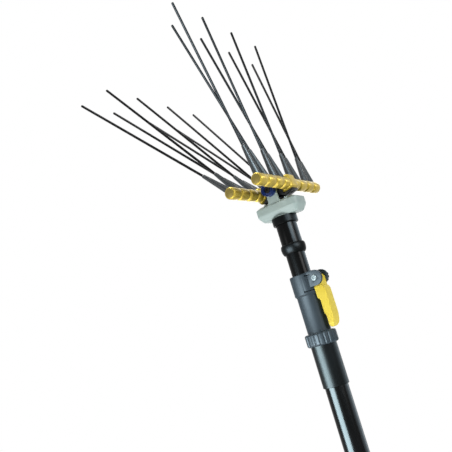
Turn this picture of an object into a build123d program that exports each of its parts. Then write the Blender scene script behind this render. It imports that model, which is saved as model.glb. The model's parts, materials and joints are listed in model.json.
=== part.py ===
"""Electric olive harvester: telescopic pole, quick-release clamp, geared head and two rocking combs.

Sizes are millimetres and degrees. The origin is the centre of the lower tube's butt end, and +Z runs
up the pole. +X is the side of the clamp lever, and Y runs along the comb bars.
"""

import os
from collections import namedtuple
from math import acos, cos, pi, radians, sin, sqrt, tan

from build123d import *

os.makedirs("parts", exist_ok=True)

# Fits
bond_gap = 0.05
run_gap = 0.05
slide_gap = 0.35
side_gap = 0.5
seat_gap = 0.3

# Telescopic pole
outer_tube_d = 35.0
outer_tube_wall = 1.5
outer_tube_length = 1110.0
inner_tube_wall = 1.5
guide_space = 1.0
guide_height = 25.0
pole_travel = 600.0
pole_overlap = 110.0
head_stand_off = 82.0

# Butt end and supply inlet
plug_depth = 25.0
plug_flange_height = 6.0
plug_flange_inset = 0.5
plug_edge = 2.0
inlet_d = 16.0
inlet_length = 16.0
contact_d = 3.0
contact_spacing = 7.0
contact_length = 10.0

# Bare butt, with a ring mark that shows how far it goes into a holder
holder_depth = 80.0
mark_width = 2.0
mark_depth = 0.4
mark_to_grip = 3.0

# Rubber grip
grip_length = 165.0
grip_wall = 3.5
grip_edge = 1.75
grip_groove_count = 9
grip_groove_depth = 1.2
grip_groove_width = 6.0

# Switch case and trigger
case_gap_above_grip = 20.0
case_height = 124.0
case_wall = 5.5
case_front_depth = 17.5
case_corner = 12.0
case_edge = 7.0
case_screw_d = 3.0
case_screw_head_d = 5.5
case_screw_inset = 16.0
case_screw_head_height = 2.0
case_screw_recess = 7.5
case_screw_grip = 11.0
trigger_width = 13.0
trigger_height = 54.0
trigger_depth = 13.0
trigger_proud = 6.5
trigger_travel = 8.0
trigger_gap = 1.2
trigger_round = 4.0
trigger_edge = 2.0
trigger_pin_d = 4.0
trigger_pin_drop = 5.0
trigger_pin_inset = 4.0
switch_wall = 2.0
switch_block_height = 30.0
switch_block_depth = 5.0

# Clamp
clamp_neck_wall = 2.5
clamp_band_wall = 4.55
clamp_neck_height = 68.0
clamp_band_height = 30.0
clamp_step_height = 2.5
foot_height = 9.5
foot_rim = 1.4
slit_width = 1.2
slit_hole_d = 2.4
upper_slit_angle = 54.0
lower_slit_angle = 73.0
upper_slit_drop = 4.0
lower_slit_rise = 3.2
ear_r = 11.5
near_ear_thickness = 4.7
far_ear_thickness = 2.5
pin_drop = 10.7
pin_d = 6.0
bolt_head_d = 9.0
bolt_head_height = 2.5
bolt_head_edge = 1.2
shoe_thickness = 2.0
shoe_height = 15.0

# Cam lever and thumb nut
lever_width = 17.6
lever_knuckle_reach = 6.8
blade_width = 20.6
blade_gap = 1.5
blade_shoulder = 3.5
lever_length = 75.3
lever_outer_reach = 9.5
lever_waist_depth = 12.3
lever_tip_depth = 10.5
lever_heel_length = 29.0
lever_waist_start = 32.5
lever_waist_end = 53.0
lever_tip_start = 56.5
lever_tip_round = 7.5
lever_toe_round = 2.0
lever_edge = 1.8
cam_r = 6.0
cam_throw = 0.8
thumb_nut_d = 21.0
thumb_nut_length = 5.0
thumb_nut_edge = 1.25
thumb_nut_flutes = 12
thumb_nut_flute_d = 2.4

# Union nut and sleeve
sleeve_wall = 2.0
sleeve_length = 70.0
sleeve_edge = 1.0
sleeve_flange_height = 5.0
nut_shoulder = 4.0
nut_wall = 2.6
nut_height = 19.2
nut_edge = 2.2
nut_rib_count = 20
nut_groove_d = 3.4
nut_groove_depth = 1.3

# Gear train
gear_module = 0.5
sun_teeth = 12
planet_teeth = 18
planet_count = 3
tooth_addendum = 0.7
tooth_dedendum = 1.1
tooth_backlash = 0.09
pressure_angle = 20.0
gear_width = 7.0
ring_rim = 2.35
ring_gear_height = 12.0
planet_pin_d = 3.0
carrier_thickness = 2.5
carrier_gap = 0.5

# Motor
motor_length = 34.0
motor_d = 27.7
motor_can_wall = 1.0
motor_cap_height = 4.0
magnet_thickness = 2.4
air_gap = 0.5
rotor_core_length = 20.0
motor_shaft_d = 2.3

# Motor tube, reducer ring and collar
motor_tube_wall = 1.5
motor_tube_length = 52.0
reducer_height = 16.0
reducer_rise = 2.8
spigot_wall = 1.65
spigot_depth = 9.0
collar_wall = 1.6
collar_height = 12.0
collar_edge = 1.0

# Gear-head housing
housing_length = 75.0
housing_width = 40.0
housing_corner = 11.0
housing_wall = 3.0
base_height = 19.4
base_chamfer_height = 9.5
base_chamfer_inset = 7.0
gasket_thickness = 0.6
gasket_inset = 1.5
cover_height = 4.6
cover_chamfer_height = 3.8
cover_chamfer_inset = 8.0
cover_pocket_depth = 2.2
cover_screw_x = 18.5
cover_screw_y = 12.0
cover_screw_d = 3.0
cover_screw_head_d = 6.0
cover_screw_head_height = 2.2
cover_screw_edge = 1.1
cover_screw_depth = 12.0
screw_boss_wall = 1.1
tower_width = 18.0
tower_thickness = 4.5
seal_thickness = 2.0
seal_lip = 3.0

# Pivot
pivot_height = 43.5
pivot_d = 10.0
hub_r = 10.0
hub_gap = 0.6
rocker_bush_wall = 1.5
tower_bush_wall = 2.5
eye_r = 10.8
eye_length = 9.3
eye_recess_r = 5.8
eye_recess_depth = 3.0
eye_groove_r = 8.6
eye_groove_width = 1.3
eye_groove_depth = 1.0
pivot_screw_head_d = 8.4
pivot_screw_head_height = 2.2
pivot_screw_d = 4.0
pivot_screw_depth = 7.0

# Crank and rocker tails
comb_swing = 5.7
upper_arm = 26.5
lower_arm = 34.0
eccentric_r = 7.0
eccentric_thickness = 3.4
crank_pin_d = 6.0
crank_journal_d = 8.0
crank_bush_wall = 2.5
crank_bush_length = 5.0
bush_lip = 1.0
tail_width = 10.0
tail_thickness = 3.5
fork_thickness = 4.0
fork_prong = 3.0
fork_yoke = 3.0
fork_reach = 4.0

# Combs
bar_d = 19.0
bar_end_margin = 10.5
bar_end_round = 2.5
tine_count = 8
tine_pitch = 24.1
tine_centre_gap = 4.0
tine_d = 4.0
tine_length = 304.0
tine_root = 2.0
row_angle = 3.4
fan_reach = 500.0
sleeve_root = 7.0
sleeve_end = 57.0
sleeve_base_r = 5.6
sleeve_tip_r = 3.2
groove_r = 4.2
groove_depth = 3.6
groove_shift = 2.6
boss_width = 20.0
boss_length = 27.0
boss_corner = 5.0
boss_below = 11.0
boss_above = 12.6
boss_edge = 1.5
pad_length = 18.0
pad_inner_reach = 9.0
pad_outer_reach = 6.5
pad_outer_thickness = 2.2
pad_inner_thickness = 4.0
arm_hub_r = 6.0
bar_screw_d = 6.0
bar_screw_head_d = 10.0
bar_screw_head_height = 2.6
bar_screw_edge = 0.9
bar_offset = 24.2
right_bar_rise = 1.9
left_bar_rise = -1.0
right_lean = 10.3
left_lean = 37.2
right_set = 3.5
left_set = -1.1

UP = (Align.CENTER, Align.CENTER, Align.MIN)
DOWN = (Align.CENTER, Align.CENTER, Align.MAX)

# Radii that follow from the fits
outer_r = outer_tube_d / 2
outer_bore_r = outer_r - outer_tube_wall
inner_r = outer_bore_r - guide_space
clamp_bore_r = inner_r + slide_gap
neck_r = clamp_bore_r + clamp_neck_wall
band_r = clamp_bore_r + clamp_band_wall
sleeve_bore_r = outer_r + bond_gap
sleeve_r = sleeve_bore_r + sleeve_wall
foot_r = sleeve_r + foot_rim
nut_bore_r = foot_r + seat_gap
nut_r = nut_bore_r + nut_wall
ring_teeth = sun_teeth + 2 * planet_teeth
sun_pitch_r = gear_module * sun_teeth / 2
planet_pitch_r = gear_module * planet_teeth / 2
ring_pitch_r = gear_module * ring_teeth / 2
gear_centres = sun_pitch_r + planet_pitch_r
ring_gear_r = ring_pitch_r + gear_module * tooth_dedendum + ring_rim
motor_bore_r = ring_gear_r + bond_gap
motor_tube_r = motor_bore_r + motor_tube_wall
spigot_bore_r = motor_tube_r + bond_gap
spigot_r = spigot_bore_r + spigot_wall
collar_bore_r = spigot_r + bond_gap
collar_r = collar_bore_r + collar_wall

# Levels up the pole
tube_top = outer_tube_length
nut_bottom = tube_top - sleeve_flange_height - nut_shoulder
clamp_step = tube_top + clamp_neck_height
clamp_top = clamp_step + clamp_band_height
pin_z = clamp_top - pin_drop
head_z = clamp_top + head_stand_off
inner_tube_bottom = tube_top - pole_overlap - pole_travel
floor_z = head_z + collar_height
motor_tube_bottom = floor_z - motor_tube_length
reducer_bottom = motor_tube_bottom - reducer_height / 2
ring_gear_top = floor_z - bond_gap
ring_gear_bottom = ring_gear_top - ring_gear_height
carrier_bottom = ring_gear_top - carrier_gap - carrier_thickness
gear_top = carrier_bottom - carrier_gap
gear_bottom = gear_top - gear_width
motor_top = ring_gear_bottom
motor_bottom = motor_top - motor_length
base_top = floor_z + base_height
cover_bottom = base_top + gasket_thickness
cover_top = cover_bottom + cover_height
pivot_z = floor_z + pivot_height
upper_eccentric_z = pivot_z - upper_arm
lower_eccentric_z = pivot_z - lower_arm

# Throws of the crank, and the room its forks need
upper_throw = upper_arm * sin(radians(comb_swing))
lower_throw = lower_arm * sin(radians(comb_swing))

# Most that a steady turn departs from the crank's sine over a quarter turn, as a share of the throw
steady_rate = 2 / pi
linear_error = sqrt(1 - steady_rate**2) - steady_rate * acos(steady_rate)
fork_tilt_room = fork_thickness / 2 * sin(radians(comb_swing))

# Places along the pivot
hub_inner = hub_gap / 2
hub_outer = lower_throw + eccentric_r + slide_gap + fork_yoke
tail_inner = hub_outer - tail_thickness
tower_inner = hub_outer + side_gap
tower_outer = tower_inner + tower_thickness
eye_outer = tower_outer + eye_length
shaft_end = eye_outer - eye_recess_depth

# Clamp lever
pin_x = inner_r + slide_gap + shoe_thickness + slide_gap + cam_r + cam_throw
ear_inner = lever_width / 2 + side_gap
near_ear_outer = ear_inner + near_ear_thickness
far_ear_outer = ear_inner + far_ear_thickness
pin_plane = Plane(origin=(pin_x, 0, pin_z), x_dir=(1, 0, 0), z_dir=(0, -1, 0))

Comb = namedtuple("Comb", "name side plane along_set arm throw")


def comb_plane(side, rise, lean):
    """Place a comb: local Z runs with its tines, local Y with its bar, from the middle of the bar."""
    angle = radians(lean)
    return Plane(
        origin=(side * bar_offset, 0, pivot_z + rise),
        x_dir=(cos(angle), 0, sin(angle)),
        z_dir=(-sin(angle), 0, cos(angle)),
    )


combs = [
    Comb("right", 1, comb_plane(1, right_bar_rise, right_lean), right_set, upper_arm, upper_throw),
    Comb("left", -1, comb_plane(-1, left_bar_rise, left_lean), left_set, lower_arm, lower_throw),
]


def save(part, name):
    """Label a finished piece and write it to its own file."""
    part.label = name
    export_step(part, f"parts/{name}.step")


def disc(radius, bottom, top, mode=Mode.ADD):
    """Add or cut a round slab about the pole axis in the open part."""
    with Locations((0, 0, bottom)):
        Cylinder(radius, top - bottom, align=UP, mode=mode)


def sleeve(radius, bore, bottom, top):
    """Add a round sleeve about the pole axis to the open part."""
    disc(radius, bottom, top)
    disc(bore, bottom, top, Mode.SUBTRACT)


def cross_rod(radius, start, end, x, z, mode=Mode.ADD):
    """Add or cut a round rod that runs along Y from start to end in the open part."""
    with Locations(Plane(origin=(x, start, z), x_dir=(1, 0, 0), z_dir=(0, 1, 0))):
        Cylinder(radius, end - start, align=UP, mode=mode)


# Lower pole
with BuildPart() as outer_tube:
    sleeve(outer_r, outer_bore_r, 0, tube_top)
    with BuildSketch(Plane.XY.offset(holder_depth)):
        Circle(outer_r)
        Circle(outer_r - mark_depth, mode=Mode.SUBTRACT)
    extrude(amount=mark_width, mode=Mode.SUBTRACT)
save(outer_tube.part, "outer_tube")

with BuildPart() as guide_ring:
    sleeve(outer_bore_r - bond_gap, clamp_bore_r, tube_top - guide_height, tube_top)
save(guide_ring.part, "guide_ring")

with BuildPart() as butt_plug:
    disc(outer_bore_r - bond_gap, 0, plug_depth)
    disc(outer_r - plug_flange_inset, -plug_flange_height, 0)
    rim = butt_plug.edges().filter_by(GeomType.CIRCLE).group_by(Axis.Z)[0]
    fillet(rim, plug_edge)
save(butt_plug.part, "butt_plug")

inlet_bottom = -plug_flange_height - inlet_length
with BuildPart() as power_inlet:
    disc(inlet_d / 2, inlet_bottom, -plug_flange_height)
    with Locations((0, 0, inlet_bottom)):
        with GridLocations(contact_spacing, 0, 2, 1):
            Cylinder(contact_d / 2 + bond_gap, contact_length, align=UP, mode=Mode.SUBTRACT)
save(power_inlet.part, "power_inlet")

with BuildPart() as inlet_contacts:
    with Locations((0, 0, inlet_bottom)):
        with GridLocations(contact_spacing, 0, 2, 1):
            Cylinder(contact_d / 2, contact_length, align=UP)
save(inlet_contacts.part, "inlet_contacts")

# Rubber grip with rounded finger grooves
grip_bottom = holder_depth + mark_width + mark_to_grip
grip_top = grip_bottom + grip_length
grip_r = outer_r + bond_gap + grip_wall
grip_pitch = grip_length / (grip_groove_count + 1)
groove_tube_r = grip_groove_width**2 / (8 * grip_groove_depth) + grip_groove_depth / 2
with BuildPart() as rear_grip:
    sleeve(grip_r, outer_r + bond_gap, grip_bottom, grip_top)
    outside = rear_grip.edges().filter_by(GeomType.CIRCLE).sort_by(SortBy.RADIUS)[-2:]
    fillet(outside, grip_edge)
    with Locations([(0, 0, grip_bottom + grip_pitch * (i + 1)) for i in range(grip_groove_count)]):
        Torus(grip_r - grip_groove_depth + groove_tube_r, groove_tube_r, mode=Mode.SUBTRACT)
save(rear_grip.part, "rear_grip")

# Switch case: two halves that meet on the plane Y = 0 around the lower tube
case_bore_r = outer_r + bond_gap
case_bottom = grip_top + case_gap_above_grip
case_top = case_bottom + case_height
case_mid = (case_bottom + case_top) / 2
case_half_width = case_bore_r + case_wall
case_back = -case_half_width
case_front = case_bore_r + case_front_depth
case_screw_seat = case_half_width - case_screw_recess
trigger_front = case_front + trigger_proud
trigger_back = trigger_front - trigger_depth
trigger_top = case_mid + trigger_height / 2
trigger_pin_x = trigger_back + trigger_pin_inset
trigger_pin_z = trigger_top - trigger_pin_drop
trigger_pin_reach = trigger_width / 2 + case_wall
switch_back = case_bore_r + switch_wall
switch_front = switch_back + switch_block_depth
switch_room = trigger_back - switch_front - slide_gap
switch_bottom = trigger_pin_z - switch_room / tan(radians(trigger_travel))
case_screw_spots = [
    (x, z)
    for x in (case_front - case_wall, case_back + case_wall / 2)
    for z in (case_bottom + case_screw_inset, case_top - case_screw_inset)
]


def case_half(keep):
    """Make one half of the switch case, on the side of the parting plane that keep names."""
    with BuildPart() as half:
        with BuildSketch(Plane.XY.offset(case_bottom)):
            with Locations(((case_back + case_front) / 2, 0)):
                RectangleRounded(case_front - case_back, 2 * case_half_width, case_corner)
        extrude(amount=case_height)
        fillet(half.faces().filter_by(Axis.Z).edges(), case_edge)
        disc(case_bore_r, case_bottom, case_top, Mode.SUBTRACT)
        with Locations((switch_back, 0, case_mid)):
            Box(
                trigger_front - switch_back,
                trigger_width + 2 * side_gap,
                trigger_height + 2 * trigger_gap,
                align=(Align.MIN, Align.CENTER, Align.CENTER),
                mode=Mode.SUBTRACT,
            )
        hole_r = trigger_pin_d / 2 + bond_gap
        cross_rod(hole_r, -trigger_pin_reach, trigger_pin_reach, trigger_pin_x, trigger_pin_z, Mode.SUBTRACT)
        for x, z in case_screw_spots:
            cross_rod(case_screw_d / 2 + bond_gap, -case_screw_seat, case_screw_grip, x, z, Mode.SUBTRACT)
            head_hole_r = case_screw_head_d / 2 + bond_gap
            cross_rod(head_hole_r, -case_half_width, -case_screw_seat, x, z, Mode.SUBTRACT)
        split(bisect_by=Plane.XZ, keep=keep)
    return half.part


save(case_half(Keep.TOP), "switch_case_front")
save(case_half(Keep.BOTTOM), "switch_case_rear")

with BuildPart() as case_screws:
    for x, z in case_screw_spots:
        cross_rod(case_screw_d / 2, -case_screw_seat, case_screw_grip, x, z)
        cross_rod(case_screw_head_d / 2, -case_screw_seat - case_screw_head_height, -case_screw_seat, x, z)
save(case_screws.part, "case_screws")

with BuildPart() as trigger_pin:
    cross_rod(trigger_pin_d / 2, -trigger_pin_reach, trigger_pin_reach, trigger_pin_x, trigger_pin_z)
save(trigger_pin.part, "trigger_pin")

with BuildPart() as switch_block:
    with Locations((switch_back, 0, switch_bottom)):
        Box(
            switch_block_depth,
            trigger_width,
            switch_block_height,
            align=(Align.MIN, Align.CENTER, Align.MIN),
        )
save(switch_block.part, "switch_block")

with BuildPart() as switch_trigger:
    with BuildSketch(Plane.XZ):
        with Locations(((trigger_back + trigger_front) / 2, case_mid)):
            RectangleRounded(trigger_depth, trigger_height, trigger_round)
    extrude(amount=trigger_width / 2, both=True)
    front_face = switch_trigger.faces().filter_by(Axis.X).sort_by(Axis.X)[-1]
    fillet(front_face.edges().filter_by(Axis.Z), trigger_edge)
    bore_r = trigger_pin_d / 2 + run_gap
    cross_rod(bore_r, -trigger_width, trigger_width, trigger_pin_x, trigger_pin_z, Mode.SUBTRACT)
save(switch_trigger.part, "switch_trigger")

# Sleeve and union nut that hold the clamp on the lower tube
with BuildPart() as clamp_sleeve:
    sleeve(sleeve_r, sleeve_bore_r, tube_top - sleeve_length, tube_top)
    disc(foot_r, tube_top - sleeve_flange_height, tube_top)
    disc(sleeve_bore_r, tube_top - sleeve_length, tube_top, Mode.SUBTRACT)
    lower_rim = clamp_sleeve.edges().filter_by(GeomType.CIRCLE).group_by(Axis.Z)[0]
    fillet(lower_rim.sort_by(SortBy.RADIUS)[-1:], sleeve_edge)
save(clamp_sleeve.part, "clamp_sleeve")

with BuildPart() as union_nut:
    disc(nut_r, nut_bottom, nut_bottom + nut_height)
    fillet(union_nut.edges().filter_by(GeomType.CIRCLE), nut_edge)
    with Locations((0, 0, nut_bottom)):
        with PolarLocations(nut_r + nut_groove_d / 2 - nut_groove_depth, nut_rib_count):
            Cylinder(nut_groove_d / 2, nut_height, align=UP, mode=Mode.SUBTRACT)
    disc(sleeve_r + seat_gap, nut_bottom, nut_bottom + nut_height, Mode.SUBTRACT)
    disc(nut_bore_r, nut_bottom + nut_shoulder, nut_bottom + nut_height, Mode.SUBTRACT)
save(union_nut.part, "union_nut")

# Clamp body: neck, split band and two ears for the lever
window_height = shoe_height + 2 * slide_gap
ear_spans = ((-near_ear_outer, -ear_inner), (ear_inner, far_ear_outer))
with BuildPart() as clamp_body:
    with BuildSketch(Plane.XZ):
        with BuildLine():
            Polyline(
                (0, tube_top),
                (foot_r, tube_top),
                (foot_r, tube_top + foot_height),
                (neck_r, tube_top + foot_height),
                (neck_r, clamp_step - clamp_step_height),
                (band_r, clamp_step),
                (band_r, clamp_top),
                (0, clamp_top),
                close=True,
            )
        make_face()
    revolve(axis=Axis.Z)
    fillet(clamp_body.faces().sort_by(Axis.Z)[-1].edges(), slit_width)
    for start, end in ear_spans:
        with BuildSketch(Plane.XZ.offset(-start)):
            with Locations((pin_x, pin_z)):
                Circle(ear_r)
                Rectangle(pin_x, 2 * ear_r, align=(Align.MAX, Align.CENTER))
        extrude(amount=start - end)
    disc(clamp_bore_r, tube_top, clamp_top + ear_r, Mode.SUBTRACT)
    with Locations((0, 0, pin_z)):
        Box(
            pin_x,
            2 * ear_inner,
            window_height,
            align=(Align.MIN, Align.CENTER, Align.CENTER),
            mode=Mode.SUBTRACT,
        )
    with Locations((neck_r, 0, clamp_step - clamp_step_height)):
        Box(
            band_r,
            2 * ear_inner,
            pin_z - clamp_step + clamp_step_height,
            align=(Align.MIN, Align.CENTER, Align.MIN),
            mode=Mode.SUBTRACT,
        )
    cross_rod(pin_d / 2 + bond_gap, -near_ear_outer, far_ear_outer, pin_x, pin_z, Mode.SUBTRACT)
    cross_rod(thumb_nut_d / 2 + slide_gap, far_ear_outer, band_r, pin_x, pin_z, Mode.SUBTRACT)
    for slit_z, slit_angle in (
        (clamp_top - upper_slit_drop, upper_slit_angle),
        (clamp_step + lower_slit_rise, lower_slit_angle),
    ):
        slit_start = band_r * cos(radians(slit_angle))
        for turn in (-slit_angle, slit_angle):
            with Locations(Location((0, 0, slit_z), (0, 0, turn))):
                Cylinder(
                    slit_hole_d / 2,
                    band_r + slit_width,
                    rotation=(0, 90, 0),
                    align=UP,
                    mode=Mode.SUBTRACT,
                )
        with Locations((slit_start, 0, slit_z)):
            Box(
                pin_x - ear_r / 2 - slit_start,
                2 * band_r,
                slit_width,
                align=(Align.MIN, Align.CENTER, Align.CENTER),
                mode=Mode.SUBTRACT,
            )
save(clamp_body.part, "clamp_body")

with BuildPart() as clamp_shoe:
    with Locations((0, 0, pin_z)):
        Box(
            inner_r + slide_gap + shoe_thickness,
            2 * (ear_inner - slide_gap),
            shoe_height,
            align=(Align.MIN, Align.CENTER, Align.CENTER),
        )
    disc(inner_r + slide_gap, pin_z - shoe_height, pin_z + shoe_height, Mode.SUBTRACT)
save(clamp_shoe.part, "clamp_shoe")

# Cam lever: an eccentric knuckle between the ears and a wider, stepped blade that lies along the clamp
lever_inner = neck_r + slide_gap - pin_x
lever_waist = lever_outer_reach - lever_waist_depth
lever_tip = lever_outer_reach - lever_tip_depth
blade_start = ear_r + blade_gap
with BuildPart() as cam_lever:
    with BuildSketch(pin_plane):
        with Locations((-cam_throw, 0)):
            Circle(cam_r)
        with BuildLine():
            Polyline(
                (-cam_throw, 0),
                (lever_inner, -cam_r / 2),
                (lever_inner, -blade_start),
                (lever_knuckle_reach, -blade_start),
                (lever_knuckle_reach, 0),
                (cam_r - cam_throw, cam_r / 2),
                close=True,
            )
        make_face()
    extrude(amount=lever_width / 2, both=True)
    with BuildSketch(pin_plane):
        with BuildLine():
            Polyline(
                (lever_inner, -blade_start),
                (lever_inner, -lever_heel_length),
                (lever_waist, -lever_waist_start),
                (lever_waist, -lever_waist_end),
                (lever_tip, -lever_tip_start),
                (lever_tip, -lever_length),
                (lever_outer_reach, -lever_length),
                (lever_outer_reach, -blade_start - blade_shoulder),
                (lever_knuckle_reach, -blade_start),
                close=True,
            )
        make_face()
    extrude(amount=blade_width / 2, both=True)
    fillet(cam_lever.edges().filter_by(Axis.Y).group_by(Axis.Z)[0].sort_by(Axis.X)[-1], lever_tip_round)
    fillet(cam_lever.edges().filter_by(Axis.Y).group_by(Axis.Z)[0].sort_by(Axis.X)[0], lever_toe_round)
    outer_face = cam_lever.faces().filter_by(Axis.X).sort_by(Axis.X)[-1]
    fillet(outer_face.edges().filter_by(Axis.Z), lever_edge)
    cross_rod(pin_d / 2 + run_gap, -lever_width, lever_width, pin_x, pin_z, Mode.SUBTRACT)
save(cam_lever.part, "cam_lever")

nut_start = far_ear_outer + seat_gap
nut_end = nut_start + thumb_nut_length
with BuildPart() as thumb_nut:
    cross_rod(thumb_nut_d / 2, nut_start, nut_end, pin_x, pin_z)
    fillet(thumb_nut.edges().filter_by(GeomType.CIRCLE), thumb_nut_edge)
    with Locations(Plane(origin=(pin_x, nut_start, pin_z), x_dir=(1, 0, 0), z_dir=(0, 1, 0))):
        with PolarLocations(thumb_nut_d / 2, thumb_nut_flutes):
            Cylinder(thumb_nut_flute_d / 2, thumb_nut_length, align=UP, mode=Mode.SUBTRACT)
    cross_rod(pin_d / 2 + run_gap, nut_start, nut_end, pin_x, pin_z, Mode.SUBTRACT)
save(thumb_nut.part, "thumb_nut")

with BuildPart() as lever_bolt:
    cross_rod(bolt_head_d / 2, -near_ear_outer - bolt_head_height, -near_ear_outer, pin_x, pin_z)
    fillet(lever_bolt.edges().filter_by(GeomType.CIRCLE).sort_by(Axis.Y)[:1], bolt_head_edge)
    cross_rod(pin_d / 2, -near_ear_outer, nut_end, pin_x, pin_z)
save(lever_bolt.part, "lever_bolt")

# Upper pole
with BuildPart() as inner_tube:
    sleeve(inner_r, inner_r - inner_tube_wall, inner_tube_bottom, motor_tube_bottom)
save(inner_tube.part, "inner_tube")

with BuildPart() as lower_guide:
    disc(outer_bore_r - slide_gap, inner_tube_bottom - outer_tube_wall, inner_tube_bottom + guide_height)
    disc(inner_r + bond_gap, inner_tube_bottom, inner_tube_bottom + guide_height, Mode.SUBTRACT)
    cap_bore_r = inner_r - inner_tube_wall
    disc(cap_bore_r, inner_tube_bottom - outer_tube_wall, inner_tube_bottom, Mode.SUBTRACT)
save(lower_guide.part, "lower_guide")

with BuildPart() as motor_tube:
    sleeve(motor_tube_r, motor_bore_r, motor_tube_bottom, floor_z)
save(motor_tube.part, "motor_tube")

reducer_top = motor_tube_bottom + reducer_height / 2
with BuildPart() as reducer_ring:
    with BuildSketch(Plane.XZ):
        with BuildLine():
            bottom_corner = (inner_r + bond_gap + motor_tube_wall / 2, reducer_bottom)
            top_corner = (motor_tube_r + bond_gap + motor_tube_wall / 2, reducer_top)
            ThreePointArc(bottom_corner, (motor_tube_r + reducer_rise, motor_tube_bottom), top_corner)
            Polyline(top_corner, (0, reducer_top), (0, reducer_bottom), bottom_corner)
        make_face()
    revolve(axis=Axis.Z)
    disc(inner_r + bond_gap, reducer_bottom, motor_tube_bottom, Mode.SUBTRACT)
    disc(motor_tube_r + bond_gap, motor_tube_bottom, reducer_top, Mode.SUBTRACT)
save(reducer_ring.part, "reducer_ring")

with BuildPart() as head_collar:
    disc(collar_r, head_z, floor_z)
    fillet(head_collar.edges().filter_by(GeomType.CIRCLE), collar_edge)
    disc(motor_tube_r + bond_gap, head_z, floor_z, Mode.SUBTRACT)
    disc(collar_bore_r, floor_z - spigot_depth, floor_z, Mode.SUBTRACT)
save(head_collar.part, "head_collar")

# Gear-head housing
bush_r = crank_journal_d / 2 + run_gap + crank_bush_wall
bush_bottom = floor_z + bush_lip
bush_top = bush_bottom + crank_bush_length
cavity_length = housing_length - 2 * housing_wall
cavity_width = housing_width - 2 * housing_wall
chamfer_top = floor_z + base_chamfer_height
screw_spots = [(x, y) for x in (-cover_screw_x, cover_screw_x) for y in (-cover_screw_y, cover_screw_y)]
with BuildPart() as housing_base:
    with BuildSketch(Plane.XY.offset(floor_z)):
        RectangleRounded(housing_length, housing_width, housing_corner)
    extrude(amount=base_height)
    under_face = housing_base.faces().sort_by(Axis.Z)[0]
    chamfer(under_face.edges(), base_chamfer_inset, base_chamfer_height, reference=under_face)
    with BuildSketch(Plane.XY.offset(floor_z + housing_wall)):
        RectangleRounded(
            cavity_length - 2 * base_chamfer_inset,
            cavity_width - 2 * base_chamfer_inset,
            housing_corner - base_chamfer_inset,
        )
    with BuildSketch(Plane.XY.offset(chamfer_top)):
        RectangleRounded(cavity_length, cavity_width, housing_corner - housing_wall)
    loft(mode=Mode.SUBTRACT)
    with BuildSketch(Plane.XY.offset(chamfer_top)):
        RectangleRounded(cavity_length, cavity_width, housing_corner - housing_wall)
    extrude(amount=base_top - chamfer_top, mode=Mode.SUBTRACT)
    post_bottom = floor_z + base_chamfer_height / 2
    with Locations([(x, y, post_bottom) for x, y in screw_spots]):
        Cylinder(cover_screw_d / 2 + screw_boss_wall, base_top - post_bottom, align=UP)
    with Locations([(x, y, base_top) for x, y in screw_spots]):
        Cylinder(cover_screw_d / 2 + bond_gap, cover_screw_depth, align=DOWN, mode=Mode.SUBTRACT)
    disc(spigot_r, floor_z - spigot_depth, floor_z)
    disc(spigot_bore_r, floor_z - spigot_depth, floor_z, Mode.SUBTRACT)
    disc(bush_r + housing_wall, floor_z, bush_top)
    disc(bush_r + bond_gap, bush_bottom, bush_top, Mode.SUBTRACT)
    disc(crank_journal_d / 2 + side_gap, floor_z, bush_bottom, Mode.SUBTRACT)
save(housing_base.part, "housing_base")

with BuildPart() as crank_bush:
    sleeve(bush_r, crank_journal_d / 2 + run_gap, bush_bottom, bush_top)
save(crank_bush.part, "crank_bush")

with BuildPart() as cover_gasket:
    with BuildSketch(Plane.XY.offset(base_top)):
        RectangleRounded(
            housing_length - 2 * gasket_inset, housing_width - 2 * gasket_inset, housing_corner - gasket_inset
        )
        RectangleRounded(cavity_length, cavity_width, housing_corner - housing_wall, mode=Mode.SUBTRACT)
    extrude(amount=gasket_thickness)
save(cover_gasket.part, "cover_gasket")

fork_slot_half = eccentric_r + linear_error * lower_throw + fork_tilt_room + slide_gap
fork_half = fork_slot_half + fork_prong
sway = sin(radians(comb_swing))
slot_half = tail_width / 2 + (pivot_z - cover_bottom) * sway + side_gap
slot_length = 2 * hub_outer + side_gap
tower_bush_r = pivot_d / 2 + bond_gap + tower_bush_wall
spot_depth = cover_screw_head_height / 2
with BuildPart() as housing_cover:
    with BuildSketch(Plane.XY.offset(cover_bottom)):
        RectangleRounded(housing_length, housing_width, housing_corner)
    extrude(amount=cover_height)
    top_face = housing_cover.faces().sort_by(Axis.Z)[-1]
    chamfer(top_face.edges(), cover_chamfer_inset, cover_chamfer_height, reference=top_face)
    for outward in (tower_inner, -tower_outer):
        with BuildSketch(Plane.XZ.offset(outward)):
            with Locations((0, pivot_z)):
                Circle(tower_width / 2)
                Rectangle(tower_width, pivot_z - cover_bottom, align=(Align.CENTER, Align.MAX))
        extrude(amount=tower_thickness)
    with Locations((0, 0, cover_bottom)):
        Box(2 * slot_half, slot_length, cover_height, align=UP, mode=Mode.SUBTRACT)
        pocket_length = 2 * (fork_half + lower_throw + side_gap)
        Box(pocket_length, slot_length, cover_pocket_depth, align=UP, mode=Mode.SUBTRACT)
    cross_rod(tower_bush_r + bond_gap, -tower_outer, tower_outer, 0, pivot_z, Mode.SUBTRACT)
    with Locations([(x, y, cover_bottom) for x, y in screw_spots]):
        Cylinder(cover_screw_d / 2 + bond_gap, cover_height, align=UP, mode=Mode.SUBTRACT)
    with Locations([(x, y, cover_top - spot_depth) for x, y in screw_spots]):
        Cylinder(cover_screw_head_d / 2 + bond_gap, cover_height, align=UP, mode=Mode.SUBTRACT)
save(housing_cover.part, "housing_cover")

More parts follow.
